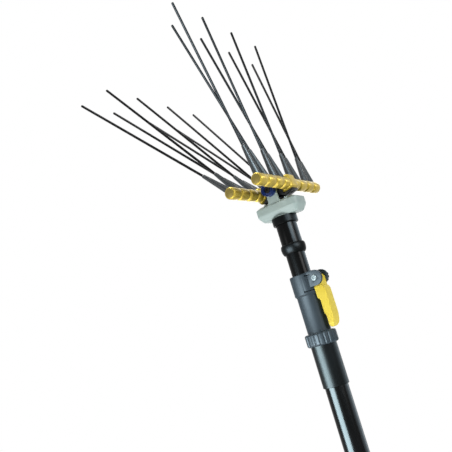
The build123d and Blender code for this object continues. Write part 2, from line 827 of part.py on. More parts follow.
with BuildPart() as cover_screws:
    with Locations([(x, y, cover_top - spot_depth) for x, y in screw_spots]):
        Cylinder(cover_screw_head_d / 2, cover_screw_head_height, align=UP)
    fillet(cover_screws.edges().filter_by(GeomType.CIRCLE).group_by(Axis.Z)[-1], cover_screw_edge)
    with Locations([(x, y, cover_top - spot_depth) for x, y in screw_spots]):
        Cylinder(cover_screw_d / 2, cover_top - spot_depth - base_top + cover_screw_depth, align=DOWN)
save(cover_screws.part, "cover_screws")

tail_slot_half = tail_width / 2 + (pivot_z - cover_top) * sway + side_gap
with BuildPart() as dust_seal:
    with Locations((0, 0, cover_top)):
        Box(2 * (slot_half + seal_lip), 2 * hub_outer, seal_thickness, align=UP)
    for outward in (1, -1):
        with Locations((0, outward * (tail_inner + hub_outer) / 2, cover_top)):
            Box(
                2 * tail_slot_half,
                tail_thickness + 2 * side_gap,
                seal_thickness,
                align=UP,
                mode=Mode.SUBTRACT,
            )
save(dust_seal.part, "dust_seal")

# Pivot shaft, its tower bushes and end screws
with BuildPart() as pivot_shaft:
    cross_rod(pivot_d / 2, -shaft_end, shaft_end, 0, pivot_z)
    screw_hole_r = pivot_screw_d / 2 + bond_gap
    cross_rod(screw_hole_r, -shaft_end, -shaft_end + pivot_screw_depth, 0, pivot_z, Mode.SUBTRACT)
    cross_rod(screw_hole_r, shaft_end - pivot_screw_depth, shaft_end, 0, pivot_z, Mode.SUBTRACT)
save(pivot_shaft.part, "pivot_shaft")

with BuildPart() as pivot_screws:
    for outward in (1, -1):
        end_plane = Plane(origin=(0, outward * shaft_end, pivot_z), x_dir=(1, 0, 0), z_dir=(0, outward, 0))
        with Locations(end_plane):
            Cylinder(pivot_screw_head_d / 2, pivot_screw_head_height, align=UP)
            Cylinder(pivot_screw_d / 2, pivot_screw_depth, align=DOWN)
save(pivot_screws.part, "pivot_screws")


def tower_bush(outward):
    """Make the flanged bush in the tower on the side of Y that outward points to."""
    seat = Plane(origin=(0, outward * tower_inner, pivot_z), x_dir=(1, 0, 0), z_dir=(0, outward, 0))
    full_length = tower_thickness + eye_length
    with BuildPart() as bush:
        with Locations(seat.offset(tower_thickness)):
            Cylinder(eye_r, eye_length, align=UP)
        fillet(bush.edges().filter_by(GeomType.CIRCLE), eye_groove_depth)
        with Locations(seat):
            Cylinder(tower_bush_r, tower_thickness, align=UP)
            Cylinder(pivot_d / 2 + bond_gap, full_length, align=UP, mode=Mode.SUBTRACT)
        with Locations(seat.offset(full_length)):
            Cylinder(eye_recess_r, eye_recess_depth, align=DOWN, mode=Mode.SUBTRACT)
        with BuildSketch(seat.offset(full_length)):
            Circle(eye_groove_r + eye_groove_width / 2)
            Circle(eye_groove_r - eye_groove_width / 2, mode=Mode.SUBTRACT)
        extrude(amount=-eye_groove_depth, mode=Mode.SUBTRACT)
    return bush.part


save(tower_bush(-1), "front_bush")
save(tower_bush(1), "rear_bush")


# Combs
def at(plane, y, z):
    """Give the place at y along and z out from a comb's middle, turned as the comb is."""
    return plane.location * Location((0, y, z))


def tine_place(index):
    """Give how far along its bar a tine stands."""
    place = (index - (tine_count - 1) / 2) * tine_pitch
    return place + tine_centre_gap / 2 if place > 0 else place - tine_centre_gap / 2


def tine_planes(comb):
    """Give a plane at the foot of each tine, with its normal along the tine."""
    planes = []
    for index in range(tine_count):
        along = tine_place(index)
        row = comb.side if index % 2 == 0 else -comb.side
        sideways = comb.plane.x_dir * (row * sin(radians(row_angle)))
        outwards = comb.plane.z_dir * cos(radians(row_angle))
        spread = Vector(0, along / fan_reach + tan(radians(comb.along_set)), 0)
        planes.append(
            Plane(
                origin=comb.plane.origin + Vector(0, along, 0),
                x_dir=comb.plane.x_dir,
                z_dir=sideways + outwards + spread,
            )
        )
    return planes


def hub_span(comb):
    """Give where a rocker's hub starts and ends along the pivot."""
    return sorted((-comb.side * hub_inner, -comb.side * hub_outer))


bar_length = 2 * (tine_place(tine_count - 1) + bar_end_margin)
groove_places = [
    (tine_place(i) + tine_place(i + 1)) / 2 for i in range(tine_count - 1) if i + 1 != tine_count // 2
]


def comb_bar(comb):
    """Make a bar with its boss, beads and seats for the tines."""
    bar_r = bar_d / 2
    with BuildPart() as bar:
        with BuildSketch(comb.plane.offset(-boss_below)):
            RectangleRounded(boss_width, boss_length, boss_corner)
        extrude(amount=boss_below + boss_above)
        boss_axis = Axis(comb.plane.origin, comb.plane.z_dir)
        chamfer(bar.faces().filter_by(boss_axis).edges(), boss_edge)
        with Locations(at(comb.plane, 0, 0)):
            Cylinder(bar_r, bar_length, rotation=(90, 0, 0))
        ends = bar.edges().filter_by(GeomType.CIRCLE).sort_by(Axis.Y)
        fillet([ends[0], ends[-1]], bar_end_round)
        with Locations([at(comb.plane, y, groove_shift) for y in groove_places]):
            ring_r = bar_r + groove_r - groove_depth + groove_shift
            Torus(ring_r, groove_r, rotation=(90, 0, 0), mode=Mode.SUBTRACT)
        for foot in tine_planes(comb):
            with Locations(foot.offset(tine_root)):
                Cylinder(tine_d / 2 + bond_gap, bar_r, align=UP, mode=Mode.SUBTRACT)
            with Locations(foot.offset(sleeve_root)):
                Cylinder(sleeve_base_r + bond_gap, bar_d, align=UP, mode=Mode.SUBTRACT)
        with Locations(at(comb.plane, 0, -boss_below)):
            Cylinder(bar_screw_d / 2 + bond_gap, boss_below + boss_above, align=UP, mode=Mode.SUBTRACT)
    return bar.part


def comb_tines(comb):
    """Make the rods of a comb as separate solids."""
    with BuildPart() as tines:
        for foot in tine_planes(comb):
            with Locations(foot.offset(tine_root)):
                Cylinder(tine_d / 2, tine_length - tine_root, align=UP)
    return tines.part


def comb_sleeves(comb):
    """Make the tapered sleeves round the feet of the rods."""
    height = sleeve_end - sleeve_root
    with BuildPart() as sleeves:
        for foot in tine_planes(comb):
            with Locations(foot.offset(sleeve_root)):
                Cone(sleeve_base_r, sleeve_tip_r, height, align=UP)
                Cylinder(tine_d / 2 + bond_gap, height, align=UP, mode=Mode.SUBTRACT)
    return sleeves.part


def comb_screw(comb):
    """Make the screw that holds a bar to its rocker."""
    with BuildPart() as screw:
        with Locations(at(comb.plane, 0, boss_above)):
            Cylinder(bar_screw_head_d / 2, bar_screw_head_height, align=UP)
        fillet(screw.edges().filter_by(GeomType.CIRCLE), bar_screw_edge)
        with Locations(at(comb.plane, 0, boss_above)):
            Cylinder(bar_screw_d / 2, boss_above + boss_below + pad_outer_thickness, align=DOWN)
    return screw.part


def comb_rocker(comb):
    """Make a rocker: hub on the pivot, arm and pad under the bar's boss, tail and fork on the crank."""
    start, end = hub_span(comb)
    tail_side = -comb.side
    arm_start, arm_end = sorted((tail_side * hub_inner, tail_side * pad_length / 2))
    inner = -comb.side * pad_inner_reach
    outer = comb.side * pad_outer_reach
    pad_corners = [
        comb.plane.from_local_coords(Vector(x, 0, z))
        for x, z in (
            (inner, -boss_below),
            (outer, -boss_below),
            (outer, -boss_below - pad_outer_thickness),
            (inner, -boss_below - pad_inner_thickness),
        )
    ]
    pad_outline = [(corner.X, corner.Z) for corner in pad_corners]
    eccentric_z = pivot_z - comb.arm
    yoke_inner = comb.throw + eccentric_r + slide_gap
    with BuildPart() as rocker:
        cross_rod(hub_r, start, end, 0, pivot_z)
        with BuildSketch(Plane.XZ.offset(-arm_start)):
            with Locations((0, pivot_z)):
                Circle(arm_hub_r)
            Polygon(*pad_outline, align=None)
            make_hull()
        extrude(amount=arm_start - arm_end)
        with Locations(at(comb.plane, 0, -boss_below)):
            Box(
                boss_width + 2 * seat_gap,
                boss_length + 2 * seat_gap,
                boss_below + boss_above,
                align=UP,
                mode=Mode.SUBTRACT,
            )
        with BuildSketch(Plane.XZ.offset(pad_length / 2)):
            Polygon(*pad_outline, align=None)
        extrude(amount=-pad_length)
        with Locations((0, tail_side * (tail_inner + hub_outer) / 2, eccentric_z)):
            Box(tail_width, tail_thickness, comb.arm - hub_r / 2, align=UP)
        fork_ends = sorted((-tail_side * fork_reach, tail_side * hub_outer))
        slot_ends = sorted((-tail_side * fork_reach, tail_side * yoke_inner))
        with Locations((0, sum(fork_ends) / 2, eccentric_z)):
            Box(2 * fork_half, fork_ends[1] - fork_ends[0], fork_thickness)
        with Locations((0, sum(slot_ends) / 2, eccentric_z)):
            Box(2 * fork_slot_half, slot_ends[1] - slot_ends[0], fork_thickness, mode=Mode.SUBTRACT)
        bush_hole_r = pivot_d / 2 + run_gap + rocker_bush_wall + bond_gap
        cross_rod(bush_hole_r, start, end, 0, pivot_z, Mode.SUBTRACT)
        with Locations(at(comb.plane, 0, -boss_below)):
            Cylinder(bar_screw_d / 2 + bond_gap, 2 * pad_inner_thickness, align=DOWN, mode=Mode.SUBTRACT)
    return rocker.part


def comb_bush(comb):
    """Make the plain bearing in a rocker's hub."""
    start, end = hub_span(comb)
    bore_r = pivot_d / 2 + run_gap
    with BuildPart() as bush:
        cross_rod(bore_r + rocker_bush_wall, start, end, 0, pivot_z)
        cross_rod(bore_r, start, end, 0, pivot_z, Mode.SUBTRACT)
    return bush.part


for comb in combs:
    save(comb_bar(comb), f"{comb.name}_bar")
    save(comb_tines(comb), f"{comb.name}_tines")
    save(comb_sleeves(comb), f"{comb.name}_sleeves")
    save(comb_screw(comb), f"{comb.name}_bar_screw")
    save(comb_rocker(comb), f"{comb.name}_rocker")
    save(comb_bush(comb), f"{comb.name}_rocker_bush")


# Planetary gears
def gear_outline(teeth, phase, inward=False):
    """Give the corners of a gear with straight-sided teeth, which point inwards on a ring gear."""
    pitch_r = gear_module * teeth / 2
    outward = -1 if inward else 1
    half_width = pi * gear_module / 4 - tooth_backlash
    slope = tan(radians(pressure_angle))
    root, tip = -tooth_dedendum, tooth_addendum
    corners = []
    for index in range(teeth):
        middle = phase + 2 * pi * index / teeth
        for height, flank in ((root, -1), (tip, -1), (tip, 1), (root, 1)):
            radius = pitch_r + outward * height * gear_module
            angle = middle + flank * (half_width - height * gear_module * slope) / radius
            corners.append((radius * cos(angle), radius * sin(angle)))
    return corners


with BuildPart() as ring_gear:
    with BuildSketch(Plane.XY.offset(ring_gear_bottom)):
        Circle(ring_gear_r)
        Polygon(*gear_outline(ring_teeth, 0, inward=True), align=None, mode=Mode.SUBTRACT)
    extrude(amount=ring_gear_height)
save(ring_gear.part, "ring_gear")

with BuildPart() as sun_gear:
    with BuildSketch(Plane.XY.offset(gear_bottom)):
        Polygon(*gear_outline(sun_teeth, 0), align=None)
        Circle(motor_shaft_d / 2 + bond_gap, mode=Mode.SUBTRACT)
    extrude(amount=gear_width)
save(sun_gear.part, "sun_gear")

planet_angles = [2 * pi * index / planet_count for index in range(planet_count)]
for number, angle in enumerate(planet_angles, start=1):
    with BuildPart() as planet_gear:
        centre = Vector(gear_centres * cos(angle), gear_centres * sin(angle), gear_bottom)
        with BuildSketch(Plane(origin=centre)):
            Polygon(*gear_outline(planet_teeth, angle + pi + pi / planet_teeth), align=None)
            Circle(planet_pin_d / 2 + run_gap, mode=Mode.SUBTRACT)
        extrude(amount=gear_width)
    save(planet_gear.part, f"planet_gear_{number}")

with BuildPart() as crankshaft:
    carrier_r = gear_centres + planet_pin_d
    disc(carrier_r, carrier_bottom, carrier_bottom + carrier_thickness)
    with Locations((0, 0, carrier_bottom)):
        with PolarLocations(gear_centres, planet_count):
            Cylinder(planet_pin_d / 2, gear_width + carrier_gap, align=DOWN)
    disc(crank_journal_d / 2, carrier_bottom, bush_top + side_gap)
    disc(crank_pin_d / 2, bush_top, upper_eccentric_z)
    with Locations((0, -upper_throw, upper_eccentric_z), (0, lower_throw, lower_eccentric_z)):
        Cylinder(eccentric_r, eccentric_thickness)
save(crankshaft.part, "crankshaft")

# Motor
motor_r = motor_d / 2
can_bore_r = motor_r - motor_can_wall
cap_top = motor_bottom + motor_cap_height
core_mid = (cap_top + motor_top - motor_can_wall) / 2
core_bottom = core_mid - rotor_core_length / 2
core_top = core_mid + rotor_core_length / 2
magnet_r = can_bore_r - bond_gap
magnet_bore_r = magnet_r - magnet_thickness
shaft_bore_r = motor_shaft_d / 2 + run_gap
with BuildPart() as motor_can:
    disc(motor_r, cap_top, motor_top)
    disc(can_bore_r, cap_top, motor_top - motor_can_wall, Mode.SUBTRACT)
    disc(shaft_bore_r, cap_top, motor_top, Mode.SUBTRACT)
save(motor_can.part, "motor_can")

with BuildPart() as motor_cap:
    sleeve(motor_r, shaft_bore_r, motor_bottom, cap_top)
save(motor_cap.part, "motor_cap")

with BuildPart() as motor_magnets:
    sleeve(magnet_r, magnet_bore_r, core_bottom, core_top)
    with Locations((0, 0, core_mid)):
        Box(magnet_thickness, motor_d, rotor_core_length, mode=Mode.SUBTRACT)
save(motor_magnets.part, "motor_magnets")

with BuildPart() as rotor_core:
    core_r = magnet_bore_r - air_gap
    sleeve(core_r, motor_shaft_d / 2 + bond_gap, core_bottom, core_top)
    with Locations((0, 0, core_bottom)):
        with PolarLocations(core_r, planet_count):
            Cylinder(magnet_thickness, rotor_core_length, align=UP, mode=Mode.SUBTRACT)
save(rotor_core.part, "rotor_core")

with BuildPart() as rotor_shaft:
    disc(motor_shaft_d / 2, motor_bottom, gear_top)
save(rotor_shaft.part, "rotor_shaft")
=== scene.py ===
"""Electric olive harvester: visible detail, finishes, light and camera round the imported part.

Lengths in the classes are millimetres, and the meshes are metres in the part's own frame: +Z runs up
the pole from the butt end, +X points to the clamp lever and Y runs along the comb bars.
"""

import json
import logging
import math
from dataclasses import dataclass, field
from enum import Enum
from typing import Any, Sequence

import bmesh
import bpy
from bpy.types import ID, Material, Mesh, Node, NodeSocket, NodeTree, Object, World
from mathutils import Matrix, Vector

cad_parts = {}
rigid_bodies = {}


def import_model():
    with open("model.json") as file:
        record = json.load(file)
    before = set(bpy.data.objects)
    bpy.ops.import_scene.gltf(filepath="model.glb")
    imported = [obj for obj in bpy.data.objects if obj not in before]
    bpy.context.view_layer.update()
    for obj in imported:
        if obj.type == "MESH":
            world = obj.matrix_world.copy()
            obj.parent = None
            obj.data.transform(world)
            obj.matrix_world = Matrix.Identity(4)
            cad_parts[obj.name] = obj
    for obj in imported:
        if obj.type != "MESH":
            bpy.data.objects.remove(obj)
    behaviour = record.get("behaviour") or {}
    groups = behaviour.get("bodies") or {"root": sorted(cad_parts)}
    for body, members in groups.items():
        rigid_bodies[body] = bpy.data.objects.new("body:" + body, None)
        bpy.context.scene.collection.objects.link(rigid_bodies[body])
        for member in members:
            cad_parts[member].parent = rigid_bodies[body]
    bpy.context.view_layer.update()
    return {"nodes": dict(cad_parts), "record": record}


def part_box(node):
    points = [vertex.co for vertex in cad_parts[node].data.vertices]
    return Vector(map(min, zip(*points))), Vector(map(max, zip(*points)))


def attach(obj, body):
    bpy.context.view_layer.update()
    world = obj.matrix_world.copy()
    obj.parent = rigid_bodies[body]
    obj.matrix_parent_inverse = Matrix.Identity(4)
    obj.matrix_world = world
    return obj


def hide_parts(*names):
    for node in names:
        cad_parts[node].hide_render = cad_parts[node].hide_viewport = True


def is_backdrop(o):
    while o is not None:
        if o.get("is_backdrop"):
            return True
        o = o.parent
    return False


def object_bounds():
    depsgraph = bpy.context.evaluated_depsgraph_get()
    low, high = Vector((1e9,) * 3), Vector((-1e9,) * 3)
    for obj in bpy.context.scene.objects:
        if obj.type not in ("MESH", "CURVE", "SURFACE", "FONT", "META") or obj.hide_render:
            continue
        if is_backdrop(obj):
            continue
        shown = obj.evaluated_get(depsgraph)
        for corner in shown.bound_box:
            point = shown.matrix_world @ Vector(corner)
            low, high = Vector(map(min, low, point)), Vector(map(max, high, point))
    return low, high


LOG = logging.getLogger("olive_harvester")
MM = 0.001
Points = list[tuple[float, float]]
Outline = Sequence[tuple[float, float]]
Places = Sequence[tuple[Vector, Vector]]

# An edge that turns by more than this stays sharp in the shading
SHARP = math.radians(40)
# Edges of a solid that turn by more than CREASE are eased, and faces that turn by less than FLAT are one
CREASE = math.radians(32)
FLAT = math.radians(0.6)
# How near two points are taken as one, in a built shape and in a solid's loose triangles, in metres
WELD = 1e-7
LOOSE_WELD = 2e-6
# The most of a side that the rounding of one of its corners may take up
CORNER_SHARE = 0.45


def linear(colour: str) -> tuple[float, float, float, float]:
    """Turn an sRGB hex colour into linear light.

    Args:
        colour: six hex digits after a hash sign.

    Returns:
        Red, green, blue and an alpha of one.
    """
    channels = [int(colour[i : i + 2], 16) / 255 for i in (1, 3, 5)]
    curve = [c / 12.92 if c <= 0.04045 else ((c + 0.055) / 1.055) ** 2.4 for c in channels]
    return (curve[0], curve[1], curve[2], 1.0)


def add_node(tree: NodeTree, kind: str, inputs: dict | None = None, **settings: Any) -> Node:
    """Add a node to a tree with its settings and links.

    Args:
        tree: the shader or geometry tree.
        kind: the node's type name.
        inputs: input name or number to a value, or to what feeds it: a socket, or a node by its first output.
        settings: attributes of the node itself.

    Returns:
        The new node.
    """
    node = tree.nodes.new(kind)
    for key, value in settings.items():
        setattr(node, key, value)
    for key, value in (inputs or {}).items():
        source = value.outputs[0] if isinstance(value, Node) else value
        if isinstance(source, NodeSocket):
            tree.links.new(source, node.inputs[key])
        else:
            node.inputs[key].default_value = source
    return node


def bare_tree(owner: Material | World) -> NodeTree:
    """Give a material or a world a node tree with nothing in it.

    Args:
        owner: the material or the world.

    Returns:
        Its empty tree.
    """
    owner.use_nodes = True
    owner.node_tree.nodes.clear()
    return owner.node_tree


class Surface(Enum):
    """How a surface was made, as stretches of its grain along X, Y and Z."""

    MOULDED = (1.0, 1.0, 1.0)
    DRAWN_UP = (1.0, 1.0, 0.02)


@dataclass(frozen=True)
class Finish:
    """A real finish: its colours, gloss and the grain that its making leaves.

    The cloud is the slow drift of colour over the piece, and the grain is the fine relief. A real grain of
    a few hundredths of a millimetre is drawn a millimetre or so coarse, as otherwise it can't be seen.
    Faces square to Y take a painted shade colour, where the finish has one. The noise seldom leaves
    its middle, so a band about the middle is stretched over the whole range.
    """

    name: str
    slot: str
    colour: str
    tone: str
    roughness: float
    roughness_drift: float = 0.05
    grain_mm: float = 1.2
    relief: float = 0.10
    relief_mm: float = 0.3
    cloud_mm: float = 30.0
    surface: Surface = Surface.MOULDED
    metallic: float = 0.0
    specular: float = 0.5
    end_shade: str = ""

    def material(self) -> Material:
        """Build the finish as a node material, once.

        Returns:
            The material, shared by every piece with this finish.
        """
        if self.name in bpy.data.materials:
            return bpy.data.materials[self.name]
        material = bpy.data.materials.new(self.name)
        tree = bare_tree(material)
        coordinates = add_node(tree, "ShaderNodeTexCoord").outputs
        place = coordinates["Object"]
        cloud = add_node(
            tree, "ShaderNodeTexNoise", {"Vector": place, "Scale": 1 / (self.cloud_mm * MM), "Detail": 3.0}
        )
        stretched = add_node(tree, "ShaderNodeMapping", {"Vector": place, "Scale": self.surface.value})
        grain = add_node(tree, "ShaderNodeTexNoise", {
            "Vector": stretched,
            "Scale": 1 / (self.grain_mm * MM),
            "Detail": 4.0,
        })
        mottle = add_node(tree, "ShaderNodeMapRange", {"Value": cloud, "From Min": 0.35, "From Max": 0.65})
        paints = {0: mottle, 6: linear(self.colour), 7: linear(self.tone)}
        colour = add_node(tree, "ShaderNodeMix", paints, data_type="RGBA").outputs[2]
        # Painted shade: faces square to Y turn to a darker colour, as if the light missed the bar's ends
        if self.end_shade:
            facing = add_node(tree, "ShaderNodeSeparateXYZ", {0: coordinates["Normal"]}).outputs
            across = add_node(tree, "ShaderNodeMath", {0: facing["Y"]}, operation="ABSOLUTE")
            end = add_node(tree, "ShaderNodeMapRange", {"Value": across, "From Min": 0.90, "From Max": 0.98})
            paints = {0: end, 6: colour, 7: linear(self.end_shade)}
            colour = add_node(tree, "ShaderNodeMix", paints, data_type="RGBA").outputs[2]
        gloss = add_node(tree, "ShaderNodeMapRange", {
            "Value": grain,
            "From Min": 0.3,
            "From Max": 0.7,
            "To Min": self.roughness - self.roughness_drift,
            "To Max": self.roughness + self.roughness_drift,
        })
        bump = add_node(tree, "ShaderNodeBump", {
            "Height": grain,
            "Strength": self.relief,
            "Distance": self.relief_mm * MM,
        })
        shader = add_node(tree, "ShaderNodeBsdfPrincipled", {
            "Base Color": colour,
            "Roughness": gloss,
            "Normal": bump,
            "Metallic": self.metallic,
            "Specular IOR Level": self.specular,
        })
        add_node(tree, "ShaderNodeOutputMaterial", {"Surface": shader})
        return material


# Bead-blasted, anodised aluminium: satin gold, darkening quickly off the highlight; painted shade on its ends
GOLD = Finish(
    "gold_anodised_aluminium", "gold_anodised", "#B9A23A", "#A08A2C", 0.31, relief=0.12, cloud_mm=9.0,
    metallic=0.5, end_shade="#7A6B30",
)
# Pultruded glass-fibre rod: near black, with the sheen of its resin
TINE = Finish("pultruded_rod", "tine_black", "#08090A", "#0C0E0F", 0.30, relief=0.04, specular=0.10)
# Moulded rubber: dark blue-grey, with a broad soft sheen
TINE_SLEEVE = Finish("sleeve_rubber", "tine_sleeve", "#161D20", "#1B2326", 0.40, 0.02, 6.0, 0.02)
# Powder coat on an aluminium casting: pale grey-green with a slight orange peel
CAST = Finish(
    "powder_coated_casting", "cast_grey", "#98A8A5", "#8E9F9D", 0.42, grain_mm=1.8, relief=0.08, specular=0.3
)
# Moulded acetal: deep blue with a clear sheen
BLUE = Finish("moulded_blue_acetal", "blue_plastic", "#08245E", "#061B49", 0.28, relief=0.04, specular=0.25)
# Zinc-plated steel: bright, with the turning marks that plating leaves
ZINC = Finish("zinc_plated_steel", "bright_steel", "#98A8AD", "#8B9CA1", 0.36, metallic=0.9, grain_mm=0.8)
# Oil-blackened steel: dark, with a low sheen
BLACK_OXIDE = Finish("blackened_steel", "black_screw", "#0C0C0D", "#131314", 0.42, specular=0.2)
# Dark anodised forging: charcoal, half matt
ROCKER = Finish("charcoal_anodised_forging", "rocker_grey", "#17191B", "#1F2224", 0.44, specular=0.25)
# Moulded nitrile rubber: black and matt
RUBBER = Finish("nitrile_rubber", "black_rubber", "#121213", "#191919", 0.62, relief=0.25, specular=0.2)
# Drawn and black-anodised tube: fine lines along the pole and a clear gloss
TUBE = Finish(
    "black_anodised_tube", "black_anodised", "#050606", "#090A0B", 0.20, 0.02, relief=0.03,
    surface=Surface.DRAWN_UP, specular=0.07,
)
# Moulded nylon: black with a fine spark-eroded grain
NYLON = Finish(
    "black_moulded_nylon", "black_plastic", "#050707", "#080B0C", 0.36, relief=0.03, specular=0.055
)
# Glass-filled nylon: grey-blue and matt, with a fine grain
CLAMP = Finish(
    "glass_filled_nylon", "clamp_grey", "#2F3A42", "#28333B", 0.52, 0.02, relief=0.02, specular=0.13
)
# Moulded ABS: warm yellow and half gloss
YELLOW = Finish("yellow_abs", "lever_yellow", "#E2CD4E", "#DCC543", 0.40, 0.02, relief=0.01, specular=0.2)
# Glass-filled nylon of the ring nut: dark grey-blue
RING = Finish(
    "dark_moulded_nylon", "ring_grey", "#333F47", "#2B373F", 0.42, 0.02, relief=0.02, specular=0.15
)
# Natural acetal: milky white
ACETAL = Finish("natural_acetal", "guide_white", "#E2DFD6", "#DAD6CB", 0.40)
# Sintered bronze: warm and porous
BRONZE = Finish("sintered_bronze", "bronze", "#A9783E", "#946632", 0.36, metallic=1.0)
# Ground and hardened steel: grey, with fine marks
GEAR = Finish("hardened_steel", "gear_steel", "#9A9B9D", "#8A8B8E", 0.30, metallic=1.0, grain_mm=0.8)
# Sintered ferrite: charcoal and dull
FERRITE = Finish("sintered_ferrite", "magnet_dark", "#4C4C4E", "#434345", 0.6)
# Enamelled copper windings: reddish brown with a lacquer gloss
COPPER = Finish("enamelled_copper", "copper_wound", "#A5552B", "#8E4522", 0.32, metallic=0.9)
# Cut gasket sheet: black and dull
GASKET = Finish("gasket_sheet", "gasket_dark", "#222223", "#2A2A2B", 0.7)

FINISHES = [
    GOLD, TINE, TINE_SLEEVE, CAST, BLUE, ZINC, BLACK_OXIDE, ROCKER, RUBBER, TUBE,
    NYLON, CLAMP, YELLOW, RING, ACETAL, BRONZE, GEAR, FERRITE, COPPER, GASKET,
]


@dataclass(frozen=True)
class Ring:
    """One ring of a turned shape: radius, height and the number of flat sides, where it isn't round."""

    r: float
    z: float
    sides: int = 0

    def radius(self, angle: float) -> float:
        """Give the radius at an angle round the axis.

        Args:
            angle: the angle in radians.

        Returns:
            The radius there, in millimetres.
        """
        if not self.sides:
            return self.r
        wedge = 2 * math.pi / self.sides
        return self.r / math.cos((angle + wedge / 2) % wedge - wedge / 2)


def arc(start: float, end: float, steps: int) -> list[float]:
    """Divide an arc between two angles in degrees into equal steps, in radians."""
    return [math.radians(start + (end - start) * step / steps) for step in range(steps + 1)]


def eased(corners: Outline, round_mm: float, steps: int = 4) -> Points:
    """Round the inner corners of an open outline.

    Args:
        corners: the corners in order, in millimetres.
        round_mm: how far from a corner its rounding starts.
        steps: points on each rounded corner.

    Returns:
        The outline with its corners rounded.
    """
    outline = [corners[0]]
    for before, corner, after in zip(corners, corners[1:], corners[2:]):
        here = Vector(corner)
        arms = [Vector(before) - here, Vector(after) - here]
        reach = min(round_mm, *(CORNER_SHARE * arm.length for arm in arms))
        start, end = (here + arm.normalized() * reach for arm in arms)
        for step in range(steps + 1):
            t = step / steps
            point = start * (1 - t) ** 2 + here * (2 * t * (1 - t)) + end * t**2
            outline.append((point.x, point.y))
    outline.append(corners[-1])
    return outline


def rounded_rectangle(width: float, length: float, corner: float, steps: int = 8) -> Points:
    """Give a rectangle about the origin with round corners, anticlockwise.

    Args:
        width: size along X.
        length: size along Y.
        corner: radius of the corners.
        steps: faces round each corner.

    Returns:
        The points of the closed outline.
    """
    points = []
    for quarter, (x, y) in enumerate(((1, 1), (-1, 1), (-1, -1), (1, -1))):
        middle_x = x * (width / 2 - corner)
        middle_y = y * (length / 2 - corner)
        for angle in arc(90 * quarter, 90 * quarter + 90, steps):
            points.append((middle_x + corner * math.cos(angle), middle_y + corner * math.sin(angle)))
    return points


def drawn_in(outline: Outline, inset: float) -> list[Vector]:
    """Move every side of a closed, anticlockwise outline inwards.

    Args:
        outline: the points of the outline.
        inset: how far the sides move.

    Returns:
        The points of the smaller outline, in the same order.
    """
    points = [Vector(point) for point in outline]
    moved = []
    for before, here, after in zip(points[-1:] + points, points, points[1:] + points[:1]):
        normals = [Vector((side.y, -side.x)).normalized() for side in (here - before, after - here)]
        middle = (normals[0] + normals[1]).normalized()
        moved.append(here - middle * (inset / middle.dot(normals[0])))
    return moved


def smoothed(mesh: Mesh) -> Mesh:
    """Shade a mesh smooth, and mark the edges that stay sharp.

    Args:
        mesh: the mesh to shade.

    Returns:
        The same mesh.
    """
    mesh.shade_smooth()
    mesh.set_sharp_from_angle(angle=SHARP)
    return mesh


def to_mesh(shape: bmesh.types.BMesh, name: str, place: Matrix | None = None) -> Mesh:
    """Turn an edit mesh into a smooth-shaded mesh whose faces point outwards.

    Args:
        shape: the edit mesh, which is freed.
        name: the mesh's name.
        place: where the shape's own axes stand; by default where the part's do.

    Returns:
        The finished mesh.
    """
    if place is not None:
        bmesh.ops.transform(shape, matrix=place, verts=shape.verts)
    bmesh.ops.remove_doubles(shape, verts=shape.verts, dist=WELD)
    bmesh.ops.recalc_face_normals(shape, faces=shape.faces)
    mesh = bpy.data.meshes.new(name)
    shape.to_mesh(mesh)
    shape.free()
    return smoothed(mesh)


def turned(name: str, rings: Sequence[Ring], place: Matrix | None = None, segments: int = 72) -> Mesh:
    """Turn a closed shape from rings, listed from axis to axis or round a loop.

    Args:
        name: the mesh's name.
        rings: the rings in order; a radius of zero is a pole on the axis.
        place: where the turning axis stands; by default the pole's own axis.
        segments: faces round the shape.

    Returns:
        The finished mesh.
    """
    shape = bmesh.new()
    loops = []
    for ring in rings:
        if ring.r == 0:
            loops.append([shape.verts.new((0, 0, ring.z * MM))] * segments)
            continue
        loop = []
        for angle in arc(0, 360, segments)[:-1]:
            radius = ring.radius(angle) * MM
            loop.append(shape.verts.new((radius * math.cos(angle), radius * math.sin(angle), ring.z * MM)))
        loops.append(loop)
    pairs = list(zip(loops, loops[1:]))
    if rings[0].r and rings[-1].r:
        pairs.append((loops[-1], loops[0]))
    for low, high in pairs:
        for step in range(segments):
            after = (step + 1) % segments
            corners = [low[step], low[after], high[after], high[step]]
            corners = [v for i, v in enumerate(corners) if v not in corners[:i]]
            if len(corners) > 2:
                shape.faces.new(corners)
    return to_mesh(shape, name, place)


def lathe(name: str, corners: Outline, round_mm: float, place: Matrix | None = None) -> Mesh:
    """Turn a hollow piece from the loop of its section, with its corners eased.

    Args:
        name: the mesh's name.
        corners: radius and height of each corner, from a point on a straight stretch to the last corner.
        round_mm: the easing at the corners.
        place: where the turning axis stands.

    Returns:
        The finished mesh.
    """
    loop = eased([*corners, corners[0]], round_mm)[:-1]
    return turned(name, [Ring(r, z) for r, z in loop], place)


def pipe(name: str, r: float, bore: float, low: float, high: float, round_mm: float = 0.4) -> Mesh:
    """Turn a tube on the pole's axis.

    Args:
        name: the mesh's name.
        r: outside radius.
        bore: inside radius.
        low: height of the lower end.
        high: height of the upper end.
        round_mm: easing at the rims.

    Returns:
        The finished mesh.
    """
    middle = (low + high) / 2
    return lathe(name, [(bore, middle), (bore, low), (r, low), (r, high), (bore, high)], round_mm)


